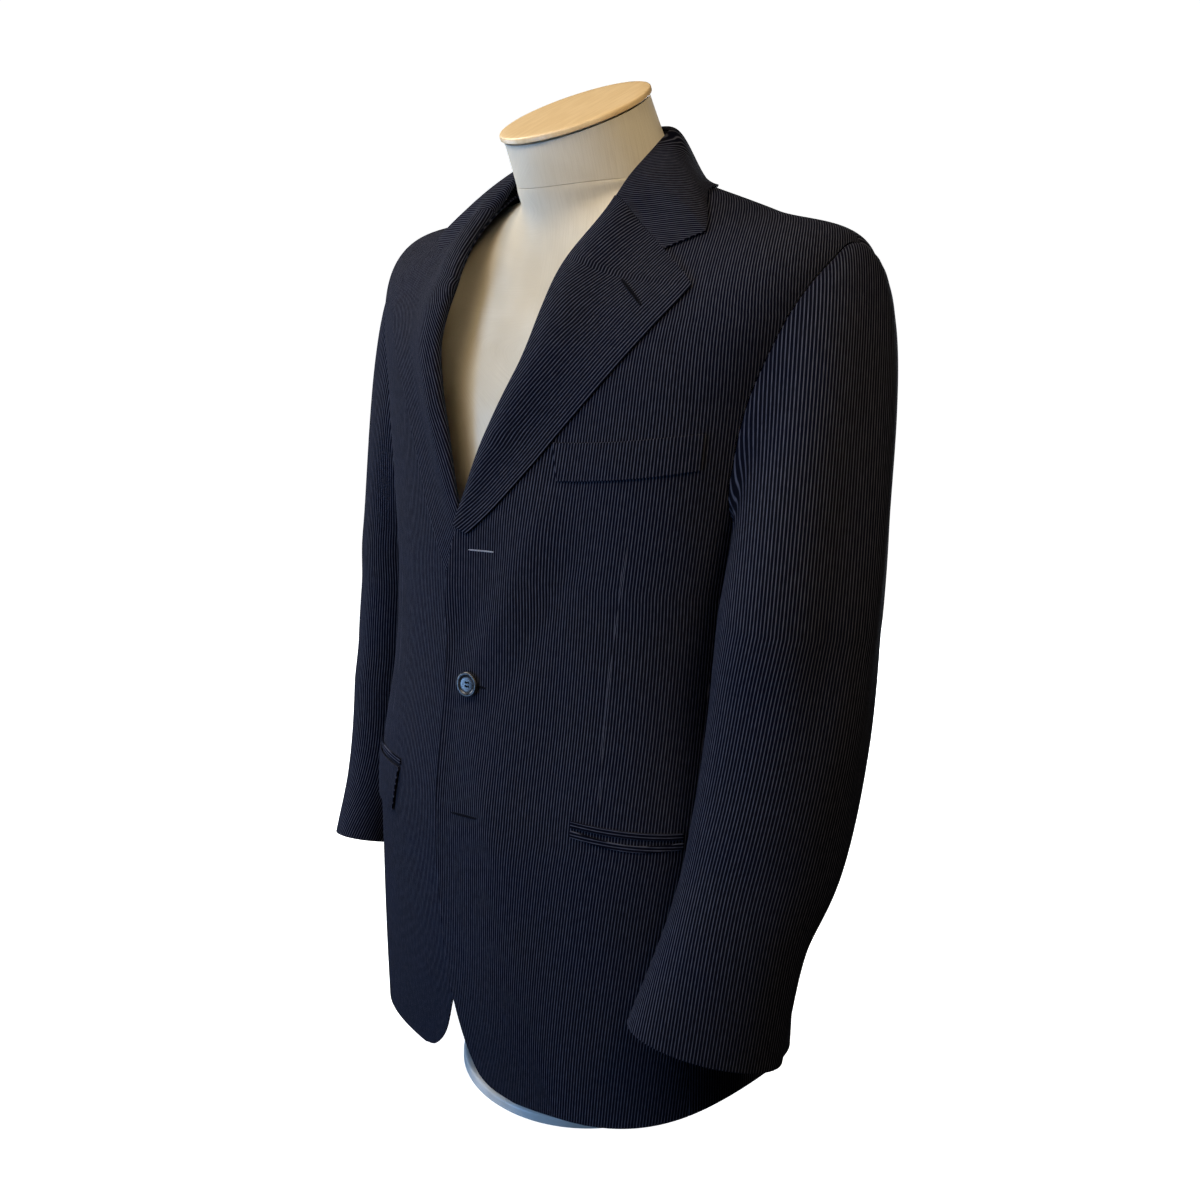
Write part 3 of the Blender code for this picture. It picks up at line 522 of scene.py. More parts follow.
@dataclass(frozen=True)
class Overlap:
    """How the left front stands out over the right one, and flares where its lapel ends."""

    rise: float = 0.0066  # at its edge
    shares: Pair = (0.55, 0.45)  # of the rise: at the hem, and added above it
    skirt: Pair = (0.2, 1.6)  # levels over which that is added
    fade: Pair = (6.0, 24.0)  # degrees over which it fades inwards
    chest: Pair = (5.9, 7.4)  # levels over which it fades under the lapel
    edge: float = -7.6  # angle of the front's edge
    flare: Pair = (0.0032, 0.0095)  # at the middle button, and at the break
    spread: Pair = (3.4, 13.0)  # of the flare there, in degrees
    opening: Pair = (4.3, 5.3)  # levels between those two
    brim: Pair = (5.75, 6.5)  # levels over which the flare ends

    def out(self, angle: Grid, level: Grid) -> Grid:
        """How far the left front stands out.

        Args:
            angle: angles of points on it.
            level: their levels.

        Returns:
            The distance at each point.
        """
        skirt = ease(level, *self.skirt)
        across = 1 - ease(angle, *self.fade)
        stand = self.rise * across * (self.shares[0] + self.shares[1] * skirt)
        stand = stand * (1 - ease(level, *self.chest))
        opened = ease(level, *self.opening)
        spread = self.spread[0] + (self.spread[1] - self.spread[0]) * opened
        flare = self.flare[0] + (self.flare[1] - self.flare[0]) * opened
        from_edge = np.clip((np.asarray(angle, float) - self.edge) / spread, 0, 1)
        return stand + flare * (1 - from_edge) ** 2 * (1 - ease(level, *self.brim))

    def worn(self, side: Side, chart: Grid) -> tuple[Grid, Grid, Grid]:
        """Places that are charted on the wearer's left, taken to a side of the body.

        Args:
            side: the side.
            chart: their angles and levels on the left.

        Returns:
            Their angles, their levels, and how far the front there stands out.
        """
        angle, level = side.value * chart[..., 0], chart[..., 1]
        return angle, level, self.out(angle, level) * (side is Side.LEFT)


OVERLAP = Overlap()


def front_grain(across: Grid, height: Grid) -> Grid:
    """Flat places on a front, whose warp leans back over the chest and the skirt.

    Args:
        across: length of cloth from the centre front.
        height: each point's height.

    Returns:
        Distance across the warp, and distance along it.
    """
    chest = np.clip(height - WAIST_TOP, 0, CHEST_TOP - WAIST_TOP)
    skirt = np.clip(SKIRT_TOP - height, 0, SKIRT_TOP)
    from_edge = ease(np.abs(across), *GRAIN_EASE)
    lean = (SKIRT_LEAN * skirt - CHEST_LEAN * chest) * from_edge
    return np.stack([across + np.sign(across) * lean, height], -1)


# ---------------- colours and finishes
def linear(code: str) -> tuple[float, float, float, float]:
    """An sRGB hex colour as linear light.

    Args:
        code: the colour, as "#rrggbb".

    Returns:
        Red, green, blue and an alpha of 1.
    """
    parts = [int(code[start:start + 2], 16) / 255 for start in (1, 3, 5)]
    red, green, blue = (
        part / 12.92 if part <= 0.04045 else ((part + 0.055) / 1.055) ** 2.4
        for part in parts
    )
    return red, green, blue, 1.0


def add_node(tree: bpy.types.NodeTree, label: str, kind: str, settings: Values,
             sockets: Values | tuple) -> None:
    """Add a node to a tree, or reuse the one of that name, with its settings and links.

    Args:
        tree: the tree.
        label: the node's name, which later nodes link to.
        kind: its type.
        settings: its properties.
        sockets: what its sockets hold, by name or in their order: a number, a colour as
            "#rrggbb", or the name of the node that one links to, with a dot and the name of
            that node's socket where it isn't the first.
    """
    node = tree.nodes.get(label) or tree.nodes.new(f"ShaderNode{kind}")
    node.name = label
    for name, value in settings.items():
        setattr(node, name, value)
    if isinstance(sockets, tuple):
        used = [number for number, socket in enumerate(node.inputs) if socket.enabled]
        sockets = dict(zip(used, sockets))
    for name, value in sockets.items():
        if isinstance(value, str) and not value.startswith("#"):
            source, _, output = value.partition(".")
            outputs = [socket for socket in tree.nodes[source].outputs if socket.enabled]
            chosen = [socket for socket in outputs if output in ("", socket.name)]
            tree.links.new(chosen[0], node.inputs[name])
        else:
            node.inputs[name].default_value = linear(value) if isinstance(value, str) else value


class Finish:
    """What every finish shares: a material whose nodes are listed in rows, made once."""

    name = "finish"

    @cached_property
    def material(self) -> bpy.types.Material:
        """The material, with its nodes.

        Returns:
            The material.
        """
        material = bpy.data.materials.new(self.name)
        material.use_nodes = True
        for row in self.rows():
            add_node(material.node_tree, *row)
        return material

    def rows(self) -> Rows:
        """The rows of its nodes, from what varies over the surface to the shader."""
        raise NotImplementedError


@dataclass(frozen=True)
class Worsted(Finish):
    """Pin-striped worsted suiting: a hard-spun wool twill, clear cut and softly matt."""

    name: str = "navy_pinstripe_worsted"
    ground: str = "#070916"
    ground_warm: str = "#090A13"
    stripe: str = "#484A57"
    bloom: str = "#8E95B8"  # of the fine nap that catches a raking light
    pitch: float = 0.00245  # between stripes
    stripe_width: float = 0.0007  # a 0.4 mm thread, drawn as coarse as it needs to show
    dash: float = 0.0065  # run of its brighter stretches
    twill: float = 0.0016  # a 0.5 mm twill rib, drawn coarser for the same reason
    roughness: float = 0.9
    gleam: float = 0.03
    sheen: float = 0.004

    def rows(self) -> Rows:
        """Stripes along the warp, over a fine twill.

        Returns:
            The rows of its nodes.
        """
        half = self.stripe_width / self.pitch / 2
        return (
            ("cloth", "UVMap", {"uv_map": "cloth"}, ()),
            ("flat", "SeparateXYZ", {}, ("cloth",)),
            ("count", "Math", {"operation": "DIVIDE"}, ("flat.X", self.pitch)),
            ("phase", "Math", {"operation": "FRACT"}, ("count",)),
            ("aside", "Math", {"operation": "SUBTRACT"}, ("phase", 0.5)),
            ("away", "Math", {"operation": "ABSOLUTE"}, ("aside",)),
            ("line", "MapRange", SMOOTH, ("away", half * 0.45, half * 1.5, 1.0, 0.0)),
            ("run", "Math", {"operation": "DIVIDE"}, ("flat.Y", self.dash)),
            ("dashes", "CombineXYZ", {}, ("count", "run")),
            ("streaks", "TexNoise", {}, ("dashes", 1.0, 2.0)),
            ("streak", "MapRange", SMOOTH, ("streaks", 0.35, 0.65, 0.68, 1.0)),
            ("thread", "Math", TIMES, ("line", "streak")),
            ("place", "TexCoord", {}, ()),
            ("patches", "TexNoise", {}, ("place.Object", 14.0, 3.0)),
            ("patchy", "MapRange", SMOOTH, ("patches", 0.35, 0.65, 0.0, 1.0)),
            ("ground", "Mix", COLOUR, ("patchy", self.ground, self.ground_warm)),
            ("colour", "Mix", COLOUR, ("thread", "ground", self.stripe)),
            ("weft", "Math", TIMES, ("flat.X", 0.9)),
            ("warp", "Math", TIMES, ("flat.Y", 0.45)),
            ("diagonal", "Math", PLUS, ("weft", "warp")),
            ("turn", "Math", TIMES, ("diagonal", 2 * math.pi / self.twill)),
            ("rib", "Math", {"operation": "SINE"}, ("turn",)),
            ("low", "Math", TIMES, ("rib", 0.16)),
            ("high", "Math", TIMES, ("line", 0.5)),
            ("height", "Math", PLUS, ("low", "high")),
            ("bump", "Bump", {}, {"Strength": 0.35, "Distance": 0.0004, "Height": "height"}),
            (*SHADER, {
                "Base Color": "colour", "Normal": "bump", "Roughness": self.roughness,
                "Specular IOR Level": self.gleam, "Sheen Weight": self.sheen,
                "Sheen Roughness": 0.45, "Sheen Tint": self.bloom,
            }),
        )


@dataclass(frozen=True)
class Horn(Finish):
    """Polished dark horn: cloudy, with a worn satin rim that catches the light."""

    name: str = "polished_dark_horn"
    dark: str = "#16171A"
    cloud: str = "#3A3A3D"
    roughness: float = 0.28

    def rows(self) -> Rows:
        """Soft clouds in the horn, and fine turning marks in its polish.

        Returns:
            The rows of its nodes.
        """
        worn = self.roughness * 0.8, self.roughness * 1.5
        return (
            ("place", "TexCoord", {}, ()),
            ("clouds", "TexNoise", {}, ("place.Object", 210.0, 4.0, 0.6)),
            ("cloud", "MapRange", SMOOTH, ("clouds", 0.42, 0.72, 0.0, 1.0)),
            ("colour", "Mix", COLOUR, ("cloud", self.dark, self.cloud)),
            ("marks", "TexNoise", {}, ("place.Object", 2400.0, 2.0)),
            ("bump", "Bump", {}, {"Strength": 0.12, "Distance": 0.0002, "Height": "marks"}),
            ("wear", "TexNoise", {}, ("place.Object", 600.0, 2.0)),
            ("rough", "MapRange", SMOOTH, ("wear", 0.3, 0.7, *worn)),
            (*SHADER, {
                "Base Color": "colour", "Roughness": "rough", "Normal": "bump", "IOR": 1.54,
                "Coat Weight": 0.22, "Coat Roughness": 0.12,
            }),
        )


@dataclass(frozen=True)
class Linen(Finish):
    """Natural linen stretched over a form: a plain weave with slubs, dry and matt."""

    name: str = "stretched_natural_linen"
    pale: str = "#DFD7C6"
    shade: str = "#CBC0AB"
    slub: str = "#B3A68E"
    thread: float = 0.0011  # a 0.6 mm thread, drawn coarser so that it shows
    roughness: float = 0.92

    def rows(self) -> Rows:
        """A plain weave from two crossed ribs, with slubs and faint yellowing.

        Returns:
            The rows of its nodes.
        """
        turn = 2 * math.pi / self.thread
        return (
            ("place", "TexCoord", {}, ()),
            ("cloth", "UVMap", {"uv_map": "cloth"}, ()),
            ("flat", "SeparateXYZ", {}, ("cloth",)),
            ("weft turn", "Math", TIMES, ("flat.X", turn)),
            ("weft", "Math", {"operation": "SINE"}, ("weft turn",)),
            ("warp turn", "Math", TIMES, ("flat.Y", turn)),
            ("warp", "Math", {"operation": "SINE"}, ("warp turn",)),
            ("weave", "Math", TIMES, ("weft", "warp")),
            ("drawn", "Mapping", {}, {"Vector": "cloth", "Scale": (900.0, 45.0, 1.0)}),
            ("slubs", "TexNoise", {}, ("drawn", 1.0, 2.0)),
            ("ageing", "TexNoise", {}, ("place.Object", 9.0, 3.0)),
            ("aged", "MapRange", SMOOTH, ("ageing", 0.35, 0.7, 0.0, 1.0)),
            ("ground", "Mix", COLOUR, ("aged", self.pale, self.shade)),
            ("fleck", "MapRange", SMOOTH, ("slubs", 0.35, 0.75, 0.0, 0.18)),
            ("colour", "Mix", COLOUR, ("fleck", "ground", self.slub)),
            ("low", "Math", TIMES, ("weave", 0.5)),
            ("height", "Math", PLUS, ("low", "slubs")),
            ("bump", "Bump", {}, {"Strength": 0.3, "Distance": 0.0003, "Height": "height"}),
            (*SHADER, {
                "Base Color": "colour", "Normal": "bump", "Roughness": self.roughness,
                "Specular IOR Level": 0.2,
            }),
        )


@dataclass(frozen=True)
class Varnish(Finish):
    """Varnished limewood: straight fine grain under a worn satin coat."""

    name: str = "varnished_limewood"
    light: str = "#E2C699"
    grain: str = "#D9BB8B"
    ring_pitch: float = 0.0035  # between its growth rings
    roughness: float = 0.42

    def rows(self) -> Rows:
        """Grain lines along one direction, warped a little.

        Returns:
            The rows of its nodes.
        """
        return (
            ("place", "TexCoord", {}, ()),
            ("drawn", "Mapping", {}, {"Vector": "place.Object", "Scale": (1.0, 0.12, 0.12)}),
            ("rings", "TexNoise", {}, ("drawn", 1 / self.ring_pitch, 3.0, 0.6)),
            ("share", "MapRange", SMOOTH, ("rings", 0.35, 0.65, 0.0, 1.0)),
            ("colour", "Mix", COLOUR, ("share", self.light, self.grain)),
            ("bump", "Bump", {}, {"Strength": 0.1, "Distance": 0.0002, "Height": "rings"}),
            (*SHADER, {
                "Base Color": "colour", "Normal": "bump", "Roughness": self.roughness,
                "Coat Weight": 0.2, "Coat Roughness": 0.3,
            }),
        )


@dataclass(frozen=True)
class Enamel(Finish):
    """Stoved pale enamel on steel: a faint orange peel under a soft gloss."""

    name: str = "stoved_pale_enamel"
    coat: str = "#E4E1DA"
    worn: str = "#CFCBC2"
    roughness: float = 0.38

    def rows(self) -> Rows:
        """A nearly even colour, with a fine peel in the surface.

        Returns:
            The rows of its nodes.
        """
        return (
            ("place", "TexCoord", {}, ()),
            ("wear", "TexNoise", {}, ("place.Object", 30.0, 4.0)),
            ("worn", "MapRange", SMOOTH, ("wear", 0.45, 0.75, 0.0, 1.0)),
            ("colour", "Mix", COLOUR, ("worn", self.coat, self.worn)),
            ("peel", "TexNoise", {}, ("place.Object", 700.0)),
            ("bump", "Bump", {}, {"Strength": 0.08, "Distance": 0.0003, "Height": "peel"}),
            (*SHADER, {"Base Color": "colour", "Normal": "bump", "Roughness": self.roughness}),
        )


@dataclass(frozen=True)
class Thread(Finish):
    """Buttonhole twist: silk thread laid close, with a low lustre."""

    name: str = "navy_buttonhole_twist"
    colour: str = "#10121B"
    hollow: str = "#06070B"  # painted shade in the gaps between its strands
    twist: float = 0.0007  # a 0.3 mm strand, drawn coarser so that it shows
    roughness: float = 0.8
    lustre: float = 0.03

    def rows(self) -> Rows:
        """Fine purl across the run of the stitches, with painted shade between its strands.

        Returns:
            The rows of its nodes.
        """
        return (
            ("place", "TexCoord", {}, ()),
            ("purl", "TexNoise", {}, ("place.Object", 1 / self.twist, 1.0)),
            ("tone", "MapRange", SMOOTH, ("purl", 0.3, 0.7, 0.0, 0.5)),
            # darker where the purl noise is high: painted shade between the strands
            ("colour", "Mix", COLOUR, ("tone", self.colour, self.hollow)),
            ("bump", "Bump", {}, {"Strength": 0.5, "Distance": 0.0002, "Height": "purl"}),
            (*SHADER, {
                "Base Color": "colour", "Normal": "bump", "Roughness": self.roughness,
                "Specular IOR Level": self.lustre,
            }),
        )


@dataclass(frozen=True)
class Paper(Finish):
    """A lit studio sweep: white acrylic over lamps, matt and nearly even."""

    name: str = "lit_white_acrylic"
    tone: str = "#F4F4F4"
    worn: str = "#ECECEC"
    glow: float = 1.12

    def rows(self) -> Rows:
        """A trace of wear in an even tone.

        Returns:
            The rows of its nodes.
        """
        return (
            ("place", "TexCoord", {}, ()),
            ("wear", "TexNoise", {}, ("place.Object", 60.0, 3.0)),
            ("share", "MapRange", SMOOTH, ("wear", 0.3, 0.7, 0.0, 0.15)),
            ("colour", "Mix", COLOUR, ("share", self.tone, self.worn)),
            (*SHADER, {
                "Base Color": "colour", "Roughness": 0.95, "Emission Color": self.tone,
                "Emission Strength": self.glow,
            }),
        )


class Finishes:
    """The finishes of this jacket and its form."""

    suiting = Worsted()
    horn = Horn()
    linen = Linen()
    cap = Varnish()
    enamel = Enamel()
    twist = Thread()
    tack = Thread("pale_tacking_thread", "#B4B5BE")
    slit = Thread("shade_inside_a_slit", "#060609")
    sweep = Paper()


# ---------------- meshes
def add_object(name: str, data: bpy.types.ID) -> bpy.types.Object:
    """Put a new object in the scene.

    Args:
        name: its name.
        data: the mesh, lamp or camera that it shows.

    Returns:
        The object.
    """
    item = bpy.data.objects.new(name, data)
    bpy.context.scene.collection.objects.link(item)
    return item


def new_mesh(name: str, points: Grid, faces: list) -> bpy.types.Mesh:
    """A new smooth mesh.

    Args:
        name: its name.
        points: its vertices.
        faces: its polygons, as rows of vertex numbers.

    Returns:
        The mesh.
    """
    mesh = bpy.data.meshes.new(name)
    mesh.from_pydata(points.tolist(), [], faces)
    mesh.shade_smooth()
    return mesh


def make_piece(
    name: str, points: Grid, faces: list, finish: Finish, flat: Grid | None = None,
    slot: str = "",
) -> bpy.types.Object:
    """A smooth mesh that rides on the body.

    Args:
        name: its name.
        points: its vertices.
        faces: its polygons, as rows of vertex numbers.
        finish: what it is made of.
        flat: each vertex's place on the flat cloth, in metres.
        slot: the material slot it would take its finish from; not used.

    Returns:
        The object.
    """
    mesh = new_mesh(name, points.reshape(-1, 3), faces)
    if flat is not None:
        loops = np.zeros(len(mesh.loops), np.int32)
        mesh.loops.foreach_get("vertex_index", loops)
        layer = mesh.uv_layers.new(name="cloth")
        layer.data.foreach_set("uv", flat.reshape(-1, 2)[loops].astype(np.float32).ravel())
    mesh.materials.append(finish.material)
    item = add_object(name, mesh)
    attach(item, BODY)
    return item


def laid_on(name: str, points: Grid, rise: float) -> Grid:
    """Points moved onto the nearest outer face of a mesh, and a little off it.

    Args:
        name: the mesh's object.
        points: the points.
        rise: how far off it they end.

    Returns:
        The moved points.
    """
    mesh = bpy.data.objects[name].data
    tree = BVHTree.FromPolygons(
        [vertex.co for vertex in mesh.vertices], [face.vertices for face in mesh.polygons]
    )
    found = [tree.find_nearest(Vector(point)) for point in points]
    return np.array([place + normal * rise for place, normal, _, _ in found])


def grid_faces(rows: int, columns: int, start: int = 0, flipped: bool = False) -> list:
    """Quads of a grid of vertices numbered by rows.

    Args:
        rows: its rows.
        columns: its columns.
        start: the number of its first vertex.
        flipped: whether the quads face the other way.

    Returns:
        The quads.
    """
    number = start + np.arange(rows * columns).reshape(rows, columns)
    corners = [number[:-1, :-1], number[:-1, 1:], number[1:, 1:], number[1:, :-1]]
    return np.stack(corners[::-1] if flipped else corners, -1).reshape(-1, 4).tolist()


def ring_faces(rows: int, sides: int, closed: bool = False) -> list:
    """Quads between rings of vertices, each ring closed on itself.

    Args:
        rows: how many rings there are.
        sides: the vertices of each.
        closed: whether the last ring joins the first.

    Returns:
        The quads.
    """
    number = np.arange(rows * sides).reshape(rows, sides)
    if closed:
        number = np.vstack([number, number[:1]])
    beside = np.roll(number, -1, axis=1)
    corners = [number[:-1], beside[:-1], beside[1:], number[1:]]
    return np.stack(corners, -1).reshape(-1, 4).tolist()


def gather(parts: list[tuple[Grid, list]]) -> tuple[Grid, list]:
    """Several meshes as one.

    Args:
        parts: each mesh's vertices and polygons.

    Returns:
        The vertices and polygons of them all.
    """
    faces, start = [], 0
    for points, polygons in parts:
        faces += [[start + corner for corner in polygon] for polygon in polygons]
        start += len(points)
    return np.vstack([points for points, _ in parts]), faces


def lathe(profile: tuple[Pair, ...], segments: int) -> tuple[Grid, list]:
    """A turned solid, closed at both ends.

    Args:
        profile: rows of radius and height.
        segments: how many sides it is turned with.

    Returns:
        Its vertices and polygons.
    """
    turns = np.linspace(0, 2 * math.pi, segments, endpoint=False)
    rings = [
        [radius * math.cos(turn), radius * math.sin(turn), height]
        for radius, height in profile for turn in turns
    ]
    count = len(rings)
    faces = ring_faces(len(profile), segments)
    for step in range(segments):
        after = (step + 1) % segments
        faces.append([count, after, step])
        faces.append([count + 1, count - segments + step, count - segments + after])
    return np.array(rings + [[0, 0, profile[0][1]], [0, 0, profile[-1][1]]]), faces


def tube(line: Grid, radius: float, sides: int, closed: bool = False) -> tuple[Grid, list]:
    """A round tube along a line of points.

    Args:
        line: the points.
        radius: the tube's radius.
        sides: how many sides it has.
        closed: whether its end joins its start.

    Returns:
        Its vertices and polygons.
    """
    if closed:
        ahead = np.roll(line, -1, axis=0) - np.roll(line, 1, axis=0)
    else:
        ahead = np.gradient(line, axis=0)
    heading = unit(ahead)
    first = unit(np.cross(heading, TUBE_ASIDE))
    second = np.cross(heading, first)
    turns = np.linspace(0, 2 * math.pi, sides, endpoint=False)
    points = line[:, None] + radius * (np.cos(turns)[None, :, None] * first[:, None]
                                       + np.sin(turns)[None, :, None] * second[:, None])
    faces = ring_faces(len(line), sides, closed)
    if not closed:
        faces.append(list(range(sides))[::-1])
        faces.append([(len(line) - 1) * sides + side for side in range(sides)])
    return points.reshape(-1, 3), faces


def with_supports(array: Grid, share: float = 0.14) -> Grid:
    """The grid with an extra line close inside each border, which keeps its edge crisp.

    Args:
        array: the grid.
        share: where each line lies in its border's cell.

    Returns:
        The grid, two rows and two columns larger.
    """
    for axis in (0, 1):
        array = np.swapaxes(array, 0, axis)
        first = array[:1] * (1 - share) + array[1:2] * share
        last = array[-1:] * (1 - share) + array[-2:-1] * share
        array = np.concatenate([array[:1], first, array[1:-1], last, array[-1:]])
        array = np.swapaxes(array, 0, axis)
    return array


@dataclass
class CutPiece:
    """A cut piece of cloth: both faces, as grids of points, and its place on the flat cloth."""

    name: str
    outer: Grid
    inner: Grid
    flat: Grid
    rests_on: tuple[str, ...]
    held: Held = Held.DRAPED
    rim: float = 0.55  # how round its turned edge is, in half walls
    pull: float = 0.0004  # how far each border is drawn in from its neighbour
    most_pull: float = 0.6  # of its cell that it may be drawn in
    least_flat: float = 0.011  # the least width taken for a piece's flat size
    least_share: float = 0.31  # the least of its rectangle that its area may be

    def draw_in(self) -> None:
        """Draw the borders in, so that rounded edges meet without touching."""
        faces = np.stack([self.outer, self.inner])
        for _ in range(2):
            for border, inside in ((0, 1), (-1, -2)):
                step = faces[:, inside] - faces[:, border]
                length = np.linalg.norm(step, axis=-1, keepdims=True)
                faces[:, border] += unit(step) * np.minimum(self.pull, self.most_pull * length)
            faces = np.swapaxes(faces, 1, 2)
        self.outer, self.inner = faces[0], faces[1]

    def rims(self, high: Grid, low: Grid, inside: Grid) -> list[Grid]:
        """The turned edge, from the outer face round to the inner one.

        Args:
            high: the outer face's border.
            low: the inner face's border.
            inside: the outer face's points next to its border.

        Returns:
            The points of its three middle lines.
        """
        middle, half = (high + low) / 2, (high - low) / 2
        away = unit(high - inside)
        depth = np.linalg.norm(half, axis=1, keepdims=True) * self.rim
        return [
            middle + half * math.cos(turn) + away * depth * math.sin(turn)
            for turn in (math.pi / 4, math.pi / 2, 3 * math.pi / 4)
        ]

    def build(self) -> None:
        self.draw_in()
        outer, inner, flat = (with_supports(grid) for grid in (self.outer, self.inner, self.flat))
        rows, columns = outer.shape[:2]
        number = np.arange(rows * columns).reshape(rows, columns)
        border = np.concatenate([
            number[0, :-1], number[:-1, -1], number[-1, :0:-1], number[:0:-1, 0]
        ])
        nearest = np.pad(number[1:-1, 1:-1], 1, mode="edge").reshape(-1)[border]
        high, low, places = outer.reshape(-1, 3), inner.reshape(-1, 3), flat.reshape(-1, 2)
        rims = self.rims(high[border], low[border], high[nearest])
        count, around = rows * columns, np.arange(len(border))
        loops = [border, *(2 * count + len(around) * step + around for step in range(3)),
                 border + count]
        strips = np.concatenate([
            np.stack([near, far, np.roll(far, -1), np.roll(near, -1)], -1)
            for near, far in zip(loops, loops[1:])
        ])
        row, column = rows // 2, columns // 2
        spot = outer[row, column]
        side = np.cross(outer[row, column + 1] - spot, outer[row + 1, column] - spot)
        flipped = float(side @ (spot - inner[row, column])) > 0
        quads = (
            grid_faces(rows, columns, 0, not flipped) + grid_faces(rows, columns, count, flipped)
            + (strips if flipped else strips[:, ::-1]).tolist()
        )
        item = make_piece(
            f"cloth_{self.name}", np.concatenate([high, low, *rims]), quads, Finishes.suiting,
            np.concatenate([places, places] + [places[border]] * 3), "suiting",
        )
        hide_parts(self.name)
        self.declare()
        LOG.info("%s: %d faces", self.name, len(quads))

    def declare(self) -> None:
        """Work out the flat size and area that the piece was cut to; they are not kept.
        """
        steps = [np.linalg.norm(np.diff(self.outer, axis=axis), axis=-1) for axis in (0, 1)]
        length, width = (
            max(self.least_flat, float(step.sum(axis).max())) for axis, step in enumerate(steps)
        )
        corner, beside = self.outer[:-1, :-1], self.outer[:-1, 1:]
        below, across = self.outer[1:, :-1], self.outer[1:, 1:]
        halves = np.cross(below - corner, beside - corner), np.cross(below - across,
                                                                     beside - across)
        area = float(sum(np.linalg.norm(half, axis=-1).sum() for half in halves) / 2)
        area = min(max(area, self.least_share * width * length), width * length)


# ---------------- the body's pieces
@dataclass
class BodyPanels:
    """Fronts, side panels and backs, cut on the jacket's block."""

    block: Block
    fine: int = FINE
    wall: float = CLOTH
    side_cells: int = 12
    panel_cells: int = 10
    neck_cells: int = 6
    corners: tuple[int, int] = (14, 22)  # cells of the armhole at a side panel's corners
    blade_level: float = 6.8  # where the back's warp is as the girth lays it
    blade_ease: Pair = (5.6, 7.2)
    blade_reach: float = 100.0  # angle up to which the back's girth is read there
    dart: tuple[Spot, Spot] = (Spot("dart top", 37.0, 5.90), Spot("dart foot", 34.5, 3.24))
    dart_width: float = 0.0008
    dart_rise: float = 0.00025  # of its seam, off the cloth
    dart_cells: int = 90

    def armhole(self) -> Grid:
        """The armhole, starting at the shoulder and going forwards.

        Returns:
            Its rows of (angle, level), the last the same as the first.
        """
        rows = numbers(ARMHOLE)
        around = np.vstack([rows[-2:], rows, rows[:3]])
        cells = ARMHOLE_CELLS * self.fine
        line = smooth_rows(around, 2 + np.arange(cells + 1) * len(ARMHOLE) / cells)
        line[-1] = line[0]
        return line

    def side_edge(self, seam: str) -> Grid:
        """A panel's side: up the side seam to its corner of the armhole.

        Args:
            seam: which of the side panel's two seams it is, front or back.

        Returns:
            Its rows of (angle, level).
        """
        corner = self.armhole()[self.corners[seam == "back"] * self.fine]
        edge = trace(FRONT_EDGE[Side.LEFT], self.side_cells * self.fine)[:, 1]
        levels = (edge - edge[0]) / (edge[-1] - edge[0]) * corner[1]
        rows = numbers(SIDE_SEAMS[seam])
        position = np.interp(levels, rows[:, 1], np.arange(len(rows)))
        angles = smooth_rows(rows[:, :1], position)[:, 0]
        angles = angles + (corner[0] - angles[-1]) * (levels / levels[-1]) ** 4
        return np.stack([angles, levels], -1)

    def piece(self, name: str, chart: Grid, side: Side, *rests_on: str) -> CutPiece:
        """A wall over a chart of the block.

        Args:
            name: its panel, without the side.
            chart: its angles and levels on the wearer's left.
            side: the side it is on.
            rests_on: what it lies on.

        Returns:
            The panel.
        """
        angle, level, out = OVERLAP.worn(side, chart)
        outer = self.block.face(angle, level, out)
        inner = self.block.face(angle, level, out - self.wall)
        across = self.block.across(angle, level)
        if name == "back":
            across = self.back_grain(angle, level)
        flat = np.stack([across, outer[..., 2]], -1)
        if name == "front":
            flat = front_grain(across, outer[..., 2])
        return CutPiece(f"{name}_{side.word}", outer, inner, flat, ("form_torso", *rests_on))

    def front(self, side: Side) -> CutPiece:
        """A front panel.

        Args:
            side: the side it is on.

        Returns:
            The panel.
        """
        corner = self.corners[0] * self.fine
        first = np.vstack([
            trace(FRONT_EDGE[side], self.side_cells * self.fine),
            trace(ROLL[side] + NECKLINE, corner)[1:],
        ])
        last = np.vstack([self.side_edge("front"), self.armhole()[:corner][::-1]])
        chart = rule(first, last, self.panel_cells * self.fine)
        return self.piece("front", chart, side, *["front_right"] * (side is Side.LEFT))

    def side_panel(self, side: Side) -> CutPiece:
        """The panel under the arm, its top edge hollowed to the armhole.

        Args:
            side: the side it is on.

        Returns:
            The panel.
        """
        first, last = (corner * self.fine for corner in self.corners)
        chart = rule(self.side_edge("front"), self.side_edge("back"), last - first)
        hollow = self.armhole()[first:last + 1] - chart[-1]
        fade = np.linspace(0, 1, len(chart))[:, None, None] ** 4
        return self.piece("side", chart + fade * hollow, side)

    def back(self, side: Side) -> CutPiece:
        """Half of the back, from the centre seam to the side seam and armhole.

        Args:
            side: the side it is on.

        Returns:
            The panel.
        """
        seam, cells = self.side_edge("back"), self.neck_cells * self.fine
        last = np.vstack([seam, self.armhole()[self.corners[1] * self.fine + 1:]])
        levels = np.interp(
            np.linspace(0, 1, len(last) - cells), np.linspace(0, 1, len(seam)),
            seam[:, 1] / seam[-1, 1] * self.block.top,
        )
        centre = np.stack([np.full(len(levels), 180.0), levels], -1)
        neck = np.stack([
            np.linspace(180, 90, cells + 1)[1:], np.full(cells, self.block.top),
        ], -1)
        chart = rule(np.vstack([centre, neck]), last, self.panel_cells * self.fine)
        return self.piece("back", chart, side)

